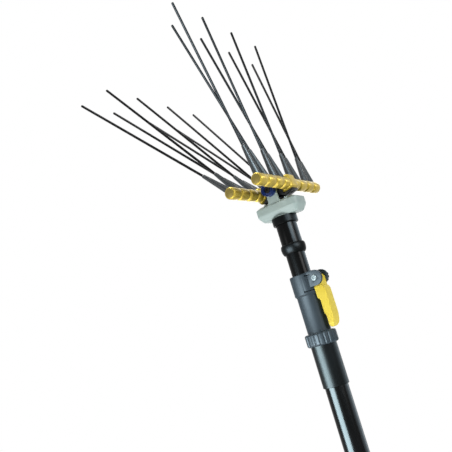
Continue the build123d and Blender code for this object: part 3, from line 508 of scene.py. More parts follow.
def prism(name: str, outline: Outline, profile: Outline, place: Matrix | None = None) -> Mesh:
    """Raise an outline along Z into a capped shape whose sides follow a profile.

    Args:
        name: the mesh's name.
        outline: the closed outline, anticlockwise.
        profile: how far the sides are drawn in, and at what height, from the first cap to the last.
        place: where the shape's own axes stand.

    Returns:
        The finished mesh.
    """
    shape = bmesh.new()
    loops = [
        [shape.verts.new((point.x * MM, point.y * MM, height * MM)) for point in drawn_in(outline, inset)]
        for inset, height in profile
    ]
    for low, high in zip(loops, loops[1:]):
        for step in range(len(low)):
            before = step - 1
            shape.faces.new([low[before], low[step], high[step], high[before]])
    shape.faces.new(loops[0])
    shape.faces.new(loops[-1])
    return to_mesh(shape, name, place)


def along_y(x: float, y: float, z: float, outward: int = 1) -> Matrix:
    """Give the place of a turning axis that runs along Y, away from the point in the outward sense."""
    turn = Matrix.Rotation(math.radians(-90 * outward), 4, "X")
    return Matrix.Translation((x * MM, y * MM, z * MM)) @ turn


def show(name: str, data: ID) -> Object:
    """Stand an object in the scene.

    Args:
        name: the object's name.
        data: its mesh, lamp or camera.

    Returns:
        The new object.
    """
    thing = bpy.data.objects.new(name, data)
    bpy.context.scene.collection.objects.link(thing)
    return thing


def evaluated(name: str, piece: Object) -> Mesh:
    """Run an object's modifiers, keep the result as a plain mesh and drop the object.

    Args:
        name: the mesh's name.
        piece: the object with its modifiers.

    Returns:
        The finished mesh.
    """
    mesh = bpy.data.meshes.new_from_object(piece.evaluated_get(bpy.context.evaluated_depsgraph_get()))
    piece.modifiers.clear()
    bpy.data.objects.remove(piece)
    mesh.name = name
    return smoothed(mesh)


def from_node(name: str, node: Object, ease_mm: float, segments: int = 2) -> Mesh:
    """Copy a solid's shape with its edges eased, as a moulding or casting has them.

    Args:
        name: the mesh's name.
        node: the solid's object.
        ease_mm: width of the eased edges.
        segments: faces across each eased edge.

    Returns:
        The finished mesh.
    """
    shape = bmesh.new()
    shape.from_mesh(node.data)
    bmesh.ops.remove_doubles(shape, verts=shape.verts, dist=LOOSE_WELD)
    bmesh.ops.dissolve_limit(
        shape, angle_limit=FLAT, verts=shape.verts, edges=shape.edges, use_dissolve_boundaries=False
    )
    mesh = bpy.data.meshes.new(name + "_sharp")
    shape.to_mesh(mesh)
    shape.free()
    copy = show(name + "_sharp", mesh)
    bevel = copy.modifiers.new("eased", "BEVEL")
    bevel.width = ease_mm * MM
    bevel.segments = segments
    bevel.limit_method = "ANGLE"
    bevel.angle_limit = CREASE
    bevel.use_clamp_overlap = True
    return evaluated(name, copy)


def cut_away(name: str, mesh: Mesh, cutters: Sequence[Mesh]) -> Mesh:
    """Cut other shapes out of a mesh.

    Args:
        name: the new mesh's name.
        mesh: the shape that is cut.
        cutters: the shapes to take away.

    Returns:
        The finished mesh.
    """
    piece = show(name, mesh)
    tools = [show(cutter.name, cutter) for cutter in cutters]
    for tool in tools:
        away = piece.modifiers.new(tool.name, "BOOLEAN")
        away.operation = "DIFFERENCE"
        away.solver = "EXACT"
        away.object = tool
    result = evaluated(name, piece)
    for tool in tools:
        bpy.data.objects.remove(tool)
    return result


def joined(name: str, meshes: Sequence[Mesh]) -> Mesh:
    """Put several meshes of one finish into one mesh.

    Args:
        name: the mesh's name.
        meshes: the meshes to put together.

    Returns:
        The joined mesh.
    """
    shape = bmesh.new()
    for mesh in meshes:
        shape.from_mesh(mesh)
    result = bpy.data.meshes.new(name)
    shape.to_mesh(result)
    shape.free()
    return smoothed(result)


def grow(
    name: str, tree: NodeTree, lengths: dict[str, float], others: dict[str, Any], base: Mesh | None = None
) -> Mesh:
    """Run a geometry tree and keep its result as a plain mesh.

    Args:
        name: the mesh's name.
        tree: the geometry tree.
        lengths: the tree's named inputs that are lengths, in millimetres.
        others: its other named inputs.
        base: the mesh that the tree starts from, where it needs one.

    Returns:
        The finished mesh.
    """
    if base is None:
        base = bpy.data.meshes.new(name + "_seed")
    seed = show(name + "_seed", base)
    modifier = seed.modifiers.new(tree.name, "NODES")
    modifier.node_group = tree
    values = {label: length * MM for label, length in lengths.items()} | others
    for item in tree.interface.items_tree:
        if item.in_out == "INPUT" and item.name in values:
            modifier[item.identifier] = values[item.name]
    return evaluated(name, seed)


def new_tree(name: str, kinds: dict[str, Sequence[str]]) -> tuple[NodeTree, dict[str, NodeSocket]]:
    """Start a geometry tree with named inputs, a finish among them.

    Args:
        name: the tree's name.
        kinds: kind of socket to the names of its inputs.

    Returns:
        The tree, and its inputs by name.
    """
    tree = bpy.data.node_groups.new(name, "GeometryNodeTree")
    kinds = {"NodeSocketGeometry": ["Geometry"], **kinds, "NodeSocketMaterial": ["Finish"]}
    for kind, labels in kinds.items():
        for label in labels:
            tree.interface.new_socket(label, in_out="INPUT", socket_type=kind)
    tree.interface.new_socket("Geometry", in_out="OUTPUT", socket_type="NodeSocketGeometry")
    given = add_node(tree, "NodeGroupInput")
    return tree, {socket.name: socket for socket in given.outputs if socket.name}


def close_tree(tree: NodeTree, shape: Node, finish: NodeSocket) -> None:
    """End a geometry tree by making its copies real and giving them their finish.

    Args:
        tree: the geometry tree.
        shape: the node that gives the geometry so far.
        finish: the material input.
    """
    real = add_node(tree, "GeometryNodeRealizeInstances", {"Geometry": shape})
    dressed = add_node(tree, "GeometryNodeSetMaterial", {"Geometry": real, "Material": finish})
    add_node(tree, "NodeGroupOutput", {"Geometry": dressed})


def swept_rod(
    tree: NodeTree, value: dict[str, NodeSocket], start: Node, end: Node, radius: NodeSocket | float
) -> Node:
    """Sweep a capped rod between two points, with the tree's own numbers of rings and sides.

    Args:
        tree: the geometry tree.
        value: its inputs by name, with Rings and Sides among them.
        start: the node that gives the first point.
        end: the node that gives the last point.
        radius: the rod's radius, or the socket that gives it.

    Returns:
        The node that gives the rod.
    """
    line = add_node(tree, "GeometryNodeCurvePrimitiveLine", {"Start": start, "End": end})
    spaced = add_node(tree, "GeometryNodeResampleCurve", {"Curve": line, "Count": value["Rings"]})
    section = add_node(
        tree, "GeometryNodeCurvePrimitiveCircle", {"Resolution": value["Sides"], "Radius": radius}
    )
    return add_node(
        tree, "GeometryNodeCurveToMesh", {"Curve": spaced, "Profile Curve": section, "Fill Caps": True}
    )


def aimed_copies(
    tree: NodeTree, value: dict[str, NodeSocket], shape: Node | NodeSocket, size: NodeSocket | Sequence[float]
) -> None:
    """End a geometry tree with a copy of a shape on each point, aimed along the point's own direction.

    Args:
        tree: the geometry tree.
        value: its inputs by name, with Geometry and Finish among them.
        shape: what gives the shape.
        size: the copies' scale.
    """
    aim = add_node(tree, "GeometryNodeInputNamedAttribute", {"Name": "aim"}, data_type="FLOAT_VECTOR")
    turn = add_node(tree, "FunctionNodeAlignRotationToVector", {"Vector": aim}, axis="Z")
    copies = add_node(
        tree,
        "GeometryNodeInstanceOnPoints",
        {"Points": value["Geometry"], "Instance": shape, "Rotation": turn, "Scale": size},
    )
    close_tree(tree, copies, value["Finish"])


def beaded_bar_tree() -> NodeTree:
    """Build the rule of a comb bar: a rod along Y with crowned beads that are cut apart on its underside.

    Returns:
        The geometry tree.
    """
    tree, value = new_tree("beaded_bar", {
        "NodeSocketFloat": (
            "Length", "Radius", "Pitch", "Centre gap", "Groove radius", "Groove depth", "Groove shift",
            "Crown", "End round", "Last groove",
        ),
        "NodeSocketInt": ("Rings", "Sides"),
    })
    position = add_node(tree, "GeometryNodeInputPosition")
    point = add_node(tree, "ShaderNodeSeparateXYZ", {0: position})
    value |= dict(zip("xyz", point.outputs))
    for result, operation, *terms in (
        ("half", "MULTIPLY", "Length", 0.5),
        ("back", "MULTIPLY", "half", -1.0),
        # How far the point lies from the nearest groove between two tines
        ("reach", "ABSOLUTE", "y"),
        ("half gap", "MULTIPLY", "Centre gap", 0.5),
        ("from gap", "SUBTRACT", "reach", "half gap"),
        ("step", "DIVIDE", "from gap", "Pitch"),
        ("whole", "ROUND", "step"),
        ("first", "MAXIMUM", "whole", 1.0),
        ("nearest", "MINIMUM", "first", "Last groove"),
        ("miss", "SUBTRACT", "step", "nearest"),
        ("size", "ABSOLUTE", "miss"),
        ("off", "MULTIPLY", "size", "Pitch"),
        # How deep the groove is there: deepest on the underside, and gone on the side of the tines
        ("level", "DIVIDE", "z", "Radius"),
        ("under", "ADD", "level", 1.0),
        ("less", "MULTIPLY", "under", "Groove shift"),
        ("depth", "SUBTRACT", "Groove depth", "less"),
        ("off squared", "MULTIPLY", "off", "off"),
        ("round squared", "MULTIPLY", "Groove radius", "Groove radius"),
        ("inside", "SUBTRACT", "round squared", "off squared"),
        ("kept", "MAXIMUM", "inside", 0.0),
        ("chord", "SQRT", "kept"),
        ("sag", "SUBTRACT", "chord", "Groove radius"),
        ("raw", "ADD", "sag", "depth"),
        ("positive", "MAXIMUM", "raw", 0.0),
        ("near groove", "LESS_THAN", "off", "Groove radius"),
        ("cut", "MULTIPLY", "positive", "near groove"),
        # The crown of each bead, and the round of the bar's ends
        ("shifted", "ADD", "step", 0.5),
        ("from bead", "PINGPONG", "shifted", 0.5),
        ("doubled", "MULTIPLY", "from bead", 2.0),
        ("bow", "POWER", "doubled", 2.0),
        ("crown", "MULTIPLY", "bow", "Crown"),
        ("to end", "SUBTRACT", "half", "reach"),
        ("room", "MINIMUM", "to end", "End round"),
        ("rise", "SUBTRACT", "End round", "room"),
        ("rise squared", "MULTIPLY", "rise", "rise"),
        ("end squared", "MULTIPLY", "End round", "End round"),
        ("arc squared", "SUBTRACT", "end squared", "rise squared"),
        ("arc", "SQRT", "arc squared"),
        ("core", "SUBTRACT", "Radius", "End round"),
        ("full", "ADD", "core", "arc"),
        ("grooved", "SUBTRACT", "full", "cut"),
        ("crowned", "SUBTRACT", "grooved", "crown"),
        ("share", "DIVIDE", "crowned", "Radius"),
        ("new x", "MULTIPLY", "x", "share"),
        ("new z", "MULTIPLY", "z", "share"),
    ):
        inputs = {slot: value.get(term, term) for slot, term in enumerate(terms)}
        value[result] = add_node(tree, "ShaderNodeMath", inputs, operation=operation).outputs[0]
    near = add_node(tree, "ShaderNodeCombineXYZ", {"Y": value["back"]})
    far = add_node(tree, "ShaderNodeCombineXYZ", {"Y": value["half"]})
    rod = swept_rod(tree, value, near, far, value["Radius"])
    moved = add_node(
        tree, "ShaderNodeCombineXYZ", {"X": value["new x"], "Y": value["y"], "Z": value["new z"]}
    )
    beaded = add_node(tree, "GeometryNodeSetPosition", {"Geometry": rod, "Position": moved})
    close_tree(tree, beaded, value["Finish"])
    return tree


def tine_row_tree() -> NodeTree:
    """Build the rule of a row of tapered rods: one on each point, aimed along the point's own direction.

    Returns:
        The geometry tree.
    """
    tree, value = new_tree("tine_row", {
        "NodeSocketFloat": ("Foot", "Tip", "Foot radius", "Tip radius", "Flare"),
        "NodeSocketInt": ("Rings", "Sides"),
    })
    foot = add_node(tree, "ShaderNodeCombineXYZ", {"Z": value["Foot"]})
    tip = add_node(tree, "ShaderNodeCombineXYZ", {"Z": value["Tip"]})
    rod = swept_rod(tree, value, foot, tip, 1.0)
    position = add_node(tree, "GeometryNodeInputPosition")
    x, y, z = add_node(tree, "ShaderNodeSeparateXYZ", {0: position}).outputs
    height = add_node(
        tree, "ShaderNodeMapRange", {"Value": z, "From Min": value["Foot"], "From Max": value["Tip"]}
    )
    bent = add_node(tree, "ShaderNodeMath", {0: height, 1: value["Flare"]}, operation="POWER")
    radius = add_node(
        tree,
        "ShaderNodeMapRange",
        {"Value": bent, "To Min": value["Foot radius"], "To Max": value["Tip radius"]},
    )
    wide = add_node(tree, "ShaderNodeMath", {0: x, 1: radius}, operation="MULTIPLY")
    deep = add_node(tree, "ShaderNodeMath", {0: y, 1: radius}, operation="MULTIPLY")
    moved = add_node(tree, "ShaderNodeCombineXYZ", {"X": wide, "Y": deep, "Z": z})
    tapered = add_node(tree, "GeometryNodeSetPosition", {"Geometry": rod, "Position": moved})
    ball = add_node(
        tree,
        "GeometryNodeMeshUVSphere",
        {"Segments": value["Sides"], "Rings": 10, "Radius": value["Tip radius"]},
    )
    end = add_node(tree, "GeometryNodeTransform", {"Geometry": ball, "Translation": tip})
    whole = add_node(tree, "GeometryNodeJoinGeometry", {"Geometry": tapered})
    tree.links.new(end.outputs[0], whole.inputs["Geometry"])
    aimed_copies(tree, value, whole, (1, 1, 1))
    return tree


def fluted_ring_tree() -> NodeTree:
    """Build the rule of a ring with flutes cut round its outside, on the Z axis from zero upwards.

    Returns:
        The geometry tree.
    """
    tree, value = new_tree("fluted_ring", {
        "NodeSocketFloat": ("Radius", "Bore", "Height", "Edge", "Flute radius", "Flute depth"),
        "NodeSocketInt": ("Flutes", "Steps"),
    })
    position = add_node(tree, "GeometryNodeInputPosition")
    point = add_node(tree, "ShaderNodeSeparateXYZ", {0: position})
    value |= dict(zip("xyz", point.outputs))
    for result, operation, *terms in (
        # The plain ring
        ("wall", "SUBTRACT", "Radius", "Bore"),
        ("across", "ADD", "Radius", "Bore"),
        ("middle", "MULTIPLY", "across", 0.5),
        ("count", "MULTIPLY", "Flutes", "Steps"),
        # Only the outer corners of its section are rounded
        ("outer", "GREATER_THAN", "x", 0.0),
        ("corner", "MULTIPLY", "outer", "Edge"),
        # How far the point lies from the middle of the nearest flute
        ("angle", "ARCTAN2", "y", "x"),
        ("turns", "DIVIDE", "angle", 2 * math.pi),
        ("in flutes", "MULTIPLY", "turns", "Flutes"),
        ("place", "PINGPONG", "in flutes", 0.5),
        ("girth", "MULTIPLY", "Radius", 2 * math.pi),
        ("flute pitch", "DIVIDE", "girth", "Flutes"),
        ("off", "MULTIPLY", "place", "flute pitch"),
        # How deep the flute is there
        ("off squared", "MULTIPLY", "off", "off"),
        ("round squared", "MULTIPLY", "Flute radius", "Flute radius"),
        ("inside", "SUBTRACT", "round squared", "off squared"),
        ("kept", "MAXIMUM", "inside", 0.0),
        ("chord", "SQRT", "kept"),
        ("lift", "SUBTRACT", "Flute radius", "Flute depth"),
        ("raw", "SUBTRACT", "chord", "lift"),
        ("cut", "MAXIMUM", "raw", 0.0),
        # The outside moved in by that much
        ("x squared", "MULTIPLY", "x", "x"),
        ("y squared", "MULTIPLY", "y", "y"),
        ("span squared", "ADD", "x squared", "y squared"),
        ("span", "SQRT", "span squared"),
        ("outside", "GREATER_THAN", "span", "middle"),
        ("taken", "MULTIPLY", "cut", "outside"),
        ("left", "SUBTRACT", "span", "taken"),
        ("share", "DIVIDE", "left", "span"),
        ("new x", "MULTIPLY", "x", "share"),
        ("new y", "MULTIPLY", "y", "share"),
        ("half", "MULTIPLY", "Height", 0.5),
        ("new z", "ADD", "z", "half"),
    ):
        inputs = {slot: value.get(term, term) for slot, term in enumerate(terms)}
        value[result] = add_node(tree, "ShaderNodeMath", inputs, operation=operation).outputs[0]
    path = add_node(
        tree, "GeometryNodeCurvePrimitiveCircle", {"Resolution": value["count"], "Radius": value["middle"]}
    )
    section = add_node(
        tree, "GeometryNodeCurvePrimitiveQuadrilateral", {"Width": value["wall"], "Height": value["Height"]}
    )
    round_section = add_node(
        tree,
        "GeometryNodeFilletCurve",
        {"Curve": section, "Count": 6, "Radius": value["corner"], "Limit Radius": True},
        mode="POLY",
    )
    ring = add_node(tree, "GeometryNodeCurveToMesh", {"Curve": path, "Profile Curve": round_section})
    moved = add_node(
        tree, "ShaderNodeCombineXYZ", {"X": value["new x"], "Y": value["new y"], "Z": value["new z"]}
    )
    fluted = add_node(tree, "GeometryNodeSetPosition", {"Geometry": ring, "Position": moved})
    close_tree(tree, fluted, value["Finish"])
    return tree


def screw_set_tree() -> NodeTree:
    """Build the rule of a set of equal screws: one copy on each point, aimed along the point's direction.

    Returns:
        The geometry tree.
    """
    tree, value = new_tree("screw_set", {"NodeSocketObject": ["Screw"], "NodeSocketFloat": ["Size"]})
    screw = add_node(tree, "GeometryNodeObjectInfo", {"Object": value["Screw"]})
    aimed_copies(tree, value, screw.outputs["Geometry"], value["Size"])
    return tree


def aimed_points(name: str, places: Places) -> Mesh:
    """Make a mesh of loose points, each with the direction that its copy points in.

    Args:
        name: the mesh's name.
        places: point in metres and direction of each copy.

    Returns:
        The point mesh.
    """
    mesh = bpy.data.meshes.new(name)
    mesh.from_pydata([tuple(point) for point, _ in places], [], [])
    aim = mesh.attributes.new("aim", "FLOAT_VECTOR", "POINT")
    for index, (_, direction) in enumerate(places):
        aim.data[index].vector = direction
    return mesh


@dataclass(frozen=True)
class SocketScrew:
    """A cap screw with a hexagonal socket, its head's top at zero and its shank below."""

    head_r: float
    head_height: float
    shank_r: float
    length: float
    hex_r: float
    edge: float = 0.5
    socket_depth: float = 1.2
    segments: int = 36

    def rings(self) -> list[Ring]:
        """List the rings from the shank's tip over the head's round edge to the floor of the socket.

        Returns:
            The rings of the turned screw.
        """
        tip = -self.head_height - self.length
        return [
            Ring(0, tip),
            Ring(self.shank_r - self.edge / 2, tip),
            Ring(self.shank_r, tip + self.edge),
            Ring(self.shank_r, -self.head_height),
            Ring(self.head_r, -self.head_height),
            # The round edge of the head
            Ring(self.head_r, -2 * self.edge),
            Ring(self.head_r - self.edge * 0.4, -self.edge * 0.8),
            Ring(self.head_r - self.edge, -self.edge * 0.2),
            Ring(self.head_r - 2 * self.edge, 0),
            # The socket, with a countersunk mouth
            Ring(self.hex_r + self.edge / 2, 0),
            Ring(self.hex_r, -self.edge / 2, 6),
            Ring(self.hex_r, -self.socket_depth, 6),
            Ring(0, -self.socket_depth),
        ]

    def turned(self, name: str, place: Matrix | None = None) -> Mesh:
        """Turn one screw, with the top of its head at the place."""
        return turned(name, self.rings(), place, self.segments)

    def set_on(self, name: str, places: Places, finish: Finish) -> Mesh:
        """Put a copy of the screw on each place.

        Args:
            name: the mesh's name.
            places: where the tops of the heads are, in metres, and the way they face.
            finish: what the screws are made of.

        Returns:
            The screws as one mesh.
        """
        pattern = bpy.data.objects.new(name + "_pattern", self.turned(name + "_pattern"))
        settings = {"Screw": pattern, "Size": 1.0, "Finish": finish.material()}
        mesh = grow(name, screw_set_tree(), {}, settings, aimed_points(name + "_points", places))
        bpy.data.objects.remove(pattern)
        return mesh


@dataclass(frozen=True)
class FlutedRing:
    """A ring with flutes round its outside, for fingers to turn it by."""

    r: float
    bore: float
    edge: float
    flutes: int
    flute_r: float
    flute_depth: float
    steps: int

    def grown(self, name: str, height: float, finish: Finish) -> Mesh:
        """Grow the ring on the Z axis, from zero upwards.

        Args:
            name: the mesh's name.
            height: the ring's height.
            finish: what it is made of.

        Returns:
            The ring's mesh.
        """
        lengths = {
            "Radius": self.r,
            "Bore": self.bore,
            "Height": height,
            "Edge": self.edge,
            "Flute radius": self.flute_r,
            "Flute depth": self.flute_depth,
        }
        settings = {"Flutes": self.flutes, "Steps": self.steps, "Finish": finish.material()}
        return grow(name, fluted_ring_tree(), lengths, settings)


@dataclass(frozen=True)
class TaperedRod:
    """A round-tipped rod or sleeve of a tine, with its heights measured along the tine."""

    foot: float
    tip: float
    foot_r: float
    tip_r: float
    flare: float
    rings: int
    sides: int

    def set_on(self, name: str, feet: Places, finish: Finish) -> Mesh:
        """Put a copy of the rod on each foot of a tine.

        Args:
            name: the mesh's name.
            feet: point in metres and direction of each tine.
            finish: what the rods are made of.

        Returns:
            The rods as one mesh.
        """
        lengths = {
            "Foot": self.foot,
            "Tip": self.tip,
            "Foot radius": self.foot_r,
            "Tip radius": self.tip_r,
        }
        settings = {
            "Flare": self.flare,
            "Rings": self.rings,
            "Sides": self.sides,
            "Finish": finish.material(),
        }
        return grow(name, tine_row_tree(), lengths, settings, aimed_points(name + "_points", feet))


@dataclass
class Assembly:
    """A group of pieces on one or more bodies: built first, then dressed."""

    nodes: dict[str, Object] = field(default_factory=dict)
    pieces: list[tuple[Mesh, Finish, str, tuple[str, ...]]] = field(default_factory=list)

    def add(self, mesh: Mesh, finish: Finish, body: str, *stands_for: str) -> None:
        """Keep a built piece for dressing.

        Args:
            mesh: its finished mesh, which carries the piece's name.
            finish: what it is made of.
            body: the body that it moves with.
            stands_for: the solids that it stands for.
        """
        self.pieces.append((mesh, finish, body, stands_for))

    def build(self) -> None:
        """Build the meshes; each sub-assembly has its own way."""

    def dress(self) -> None:
        """Make each built mesh an object with its finish, on its body."""
        for mesh, finish, body, stands_for in self.pieces:
            mesh.materials.clear()
            mesh.materials.append(finish.material())
            piece = show(mesh.name, mesh)
            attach(piece, body)
            if stands_for:
                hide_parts(*stands_for)
            LOG.info("%s: %d faces on %s", mesh.name, len(mesh.polygons), body)


def span(node: str) -> tuple[Vector, Vector]:
    """Give a solid's lowest and highest corners in millimetres."""
    low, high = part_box(node)
    return low / MM, high / MM


@dataclass
class LowerPole(Assembly):
    """The lower tube with its ring mark, butt plug, inlet and rubber grip."""

    tube_wall: float = 1.5
    tube_ease: float = 0.4
    mark_low: float = 80.0
    mark_width: float = 2.0
    mark_depth: float = 0.4
    grip_wall: float = 3.5
    grip_ease: float = 1.4
    grip_grooves: int = 9
    groove_depth: float = 1.2
    groove_width: float = 6.0
    groove_steps: int = 6
    plug_ease: float = 0.8
    inlet_ease: float = 0.6

    def build(self) -> None:
        """Turn the tube and the grip, and copy the plug and the inlet."""
        body = "lower_pole"
        self.add(self.tube(), TUBE, body, "outer_tube")
        self.add(self.grip(), RUBBER, body, "rear_grip")
        self.add(from_node("butt_end", self.nodes["butt_plug"], self.plug_ease), NYLON, body, "butt_plug")
        inlet = from_node("inlet_plug", self.nodes["power_inlet"], self.inlet_ease)
        self.add(inlet, NYLON, body, "power_inlet")

    def tube(self) -> Mesh:
        """Turn the lower tube with the ring mark near its butt.

        Returns:
            The tube's mesh.
        """
        low, high = span("outer_tube")
        bore = high.x - self.tube_wall
        floor = high.x - self.mark_depth
        middle = (low.z + high.z) / 2
        mark_top = self.mark_low + self.mark_width
        corners = [
            (bore, middle), (bore, low.z), (high.x, low.z), (high.x, self.mark_low), (floor, self.mark_low),
            (floor, mark_top), (high.x, mark_top), (high.x, high.z), (bore, high.z),
        ]
        return lathe("lower_tube", corners, self.tube_ease)

    def grip(self) -> Mesh:
        """Turn the rubber grip with its hollow finger grooves.

        Returns:
            The grip's mesh.
        """
        low, high = span("rear_grip")
        bore = high.x - self.grip_wall
        middle = (low.z + high.z) / 2
        pitch = (high.z - low.z) / (self.grip_grooves + 1)
        corners = [(bore, middle), (bore, low.z), (high.x, low.z)]
        for index in range(self.grip_grooves):
            for step in range(-self.groove_steps, self.groove_steps + 1):
                t = step / self.groove_steps
                height = low.z + (index + 1) * pitch + t * self.groove_width / 2
                corners.append((high.x - self.groove_depth * (1 - t**2), height))
        corners += [(high.x, high.z), (bore, high.z)]
        return lathe("hand_grip", corners, self.grip_ease)


@dataclass
class SwitchHousing(Assembly):
    """The two halves of the switch case, their screws and the sprung trigger."""

    case_ease: float = 0.9
    trigger_ease: float = 0.7
    screw: SocketScrew = SocketScrew(2.75, 2.0, 1.5, 26.5, 1.25)

    def build(self) -> None:
        """Copy the mouldings with eased edges and set the screws in their holes."""
        body = "lower_pole"
        for node in ("switch_case_front", "switch_case_rear"):
            self.add(from_node(node + "_shell", self.nodes[node], self.case_ease), NYLON, body, node)
        trigger = "switch_trigger"
        self.add(from_node("trigger_key", self.nodes[trigger], self.trigger_ease), YELLOW, trigger, trigger)
        low, high = span("case_screws")
        out = Vector((0, -1, 0))
        places = [
            (Vector((x, low.y, z)) * MM, out)
            for x in (low.x + self.screw.head_r, high.x - self.screw.head_r)
            for z in (low.z + self.screw.head_r, high.z - self.screw.head_r)
        ]
        self.add(self.screw.set_on("case_fixings", places, BLACK_OXIDE), BLACK_OXIDE, body, "case_screws")


@dataclass(frozen=True)
class CamLever:
    """The clamp's lever: an eccentric knuckle on the pin, and a stepped blade with a round tip.

    Reaches and depths are measured along X from the pin, starts, ends and lengths down from it, and the
    cam's arc in degrees round it.
    """

    cam_r: float = 6.0
    cam_throw: float = 0.8
    cam_from: float = 30.0
    cam_to: float = 180.0
    cam_steps: int = 15
    knuckle_reach: float = 6.8
    knuckle_width: float = 17.6
    blade_width: float = 20.6
    blade_start: float = 13.0
    blade_shoulder: float = 6.0
    blade_reach: float = 9.5
    blade_length: float = 75.3
    blade_edge: float = 0.9
    blade_ease: float = 1.5
    heel_depth: float = 6.3
    heel_length: float = 29.0
    waist_depth: float = 2.8
    waist_start: float = 32.5
    waist_end: float = 53.0
    tip_depth: float = 1.0
    tip_start: float = 56.5
    tip_height: float = 24.0
    tip_round: float = 7.8
    tip_corner: float = 8.0
    tip_steps: int = 12
    cut_reach: float = 20.0
    cut_margin: float = 1.0

    def shaped(self, x: float, z: float, bore_r: float) -> Mesh:
        """Shape the lever on its pin.

        Args:
            x: where the pin stands along X.
            z: the pin's height.
            bore_r: radius of the bore for the pin.

        Returns:
            The lever's mesh.
        """
        shapes = []
        for name, outline, width in (
            ("knuckle", self.knuckle(), self.knuckle_width),
            ("blade", self.blade(), self.blade_width),
        ):
            edge = self.blade_edge
            profile = eased([(edge, 0), (0, 0), (0, width), (edge, width)], edge)
            shapes.append(prism(name, outline, profile, along_y(x, width / 2, z, -1)))
        through = 2 * self.cut_reach
        rings = [Ring(0, 0), Ring(bore_r, 0), Ring(bore_r, through), Ring(0, through)]
        bore = turned("bore", rings, along_y(x, -self.cut_reach, z))
        across_x = Matrix(((0, 0, 1, 0), (1, 0, 0, 0), (0, 1, 0, 0), (0, 0, 0, 1)))
        place = Matrix.Translation(((x - self.cut_reach) * MM, 0, z * MM)) @ across_x
        corners = [
            prism("tip_cutter", self.tip_corner_outline(side), [(0, 0), (0, through)], place)
            for side in (1, -1)
        ]
        bored = cut_away("bored_knuckle", shapes[0], [bore])
        return joined("lever_blade", [bored, cut_away("round_blade", shapes[1], corners)])

    def knuckle(self) -> Points:
        """Outline the knuckle from the side, with the cam that presses the shoe.

        Returns:
            The closed outline about the pin.
        """
        heel = -self.heel_depth
        neck = -self.blade_start - self.blade_edge
        angles = arc(self.cam_from, self.cam_to, self.cam_steps)
        return [
            *((self.cam_r * math.cos(a) - self.cam_throw, self.cam_r * math.sin(a)) for a in angles),
            (heel, -self.cam_r / 2),
            (heel, -self.blade_start),
            (heel + self.blade_edge, neck),
            (self.knuckle_reach - self.blade_edge, neck),
            (self.knuckle_reach, -self.blade_start),
            (self.knuckle_reach, 0),
        ]

    def blade(self) -> Points:
        """Outline the blade from the side, stepped within and drawn in towards its tip.

        Returns:
            The closed outline about the pin.
        """
        start = (-self.heel_depth, -self.blade_start)
        tip = [
            (
                self.blade_reach - self.tip_round * (1 - math.sin(angle)),
                self.tip_height * (1 - math.cos(angle)) - self.blade_length,
            )
            for angle in arc(0, 90, self.tip_steps)
        ]
        corners = [
            start,
            (-self.heel_depth, -self.heel_length),
            (-self.waist_depth, -self.waist_start),
            (-self.waist_depth, -self.waist_end),
            (-self.tip_depth, -self.tip_start),
            (-self.tip_depth, -self.blade_length),
            *tip,
            (self.blade_reach, -self.blade_start - self.blade_shoulder),
            (self.knuckle_reach, -self.blade_start),
            start,
        ]
        return eased(corners, self.blade_ease)[:-1]

    def tip_corner_outline(self, side: int) -> Points:
        """Outline what is cut off one lower corner of the blade to round it, seen along X.

        Args:
            side: 1 for the corner at +Y, -1 for the one at -Y.

        Returns:
            The closed outline about the pin, anticlockwise.
        """
        half = self.blade_width / 2
        low = -self.blade_length
        corner = self.tip_corner
        outline = [(half + self.cut_margin, low - self.cut_margin), (half + self.cut_margin, low + corner)]
        for angle in arc(0, 90, self.tip_steps):
            outline.append((half - corner * (1 - math.cos(angle)), low + corner * (1 - math.sin(angle))))
        outline.append((half - corner, low - self.cut_margin))
        return outline if side > 0 else [(-y, z) for y, z in reversed(outline)]


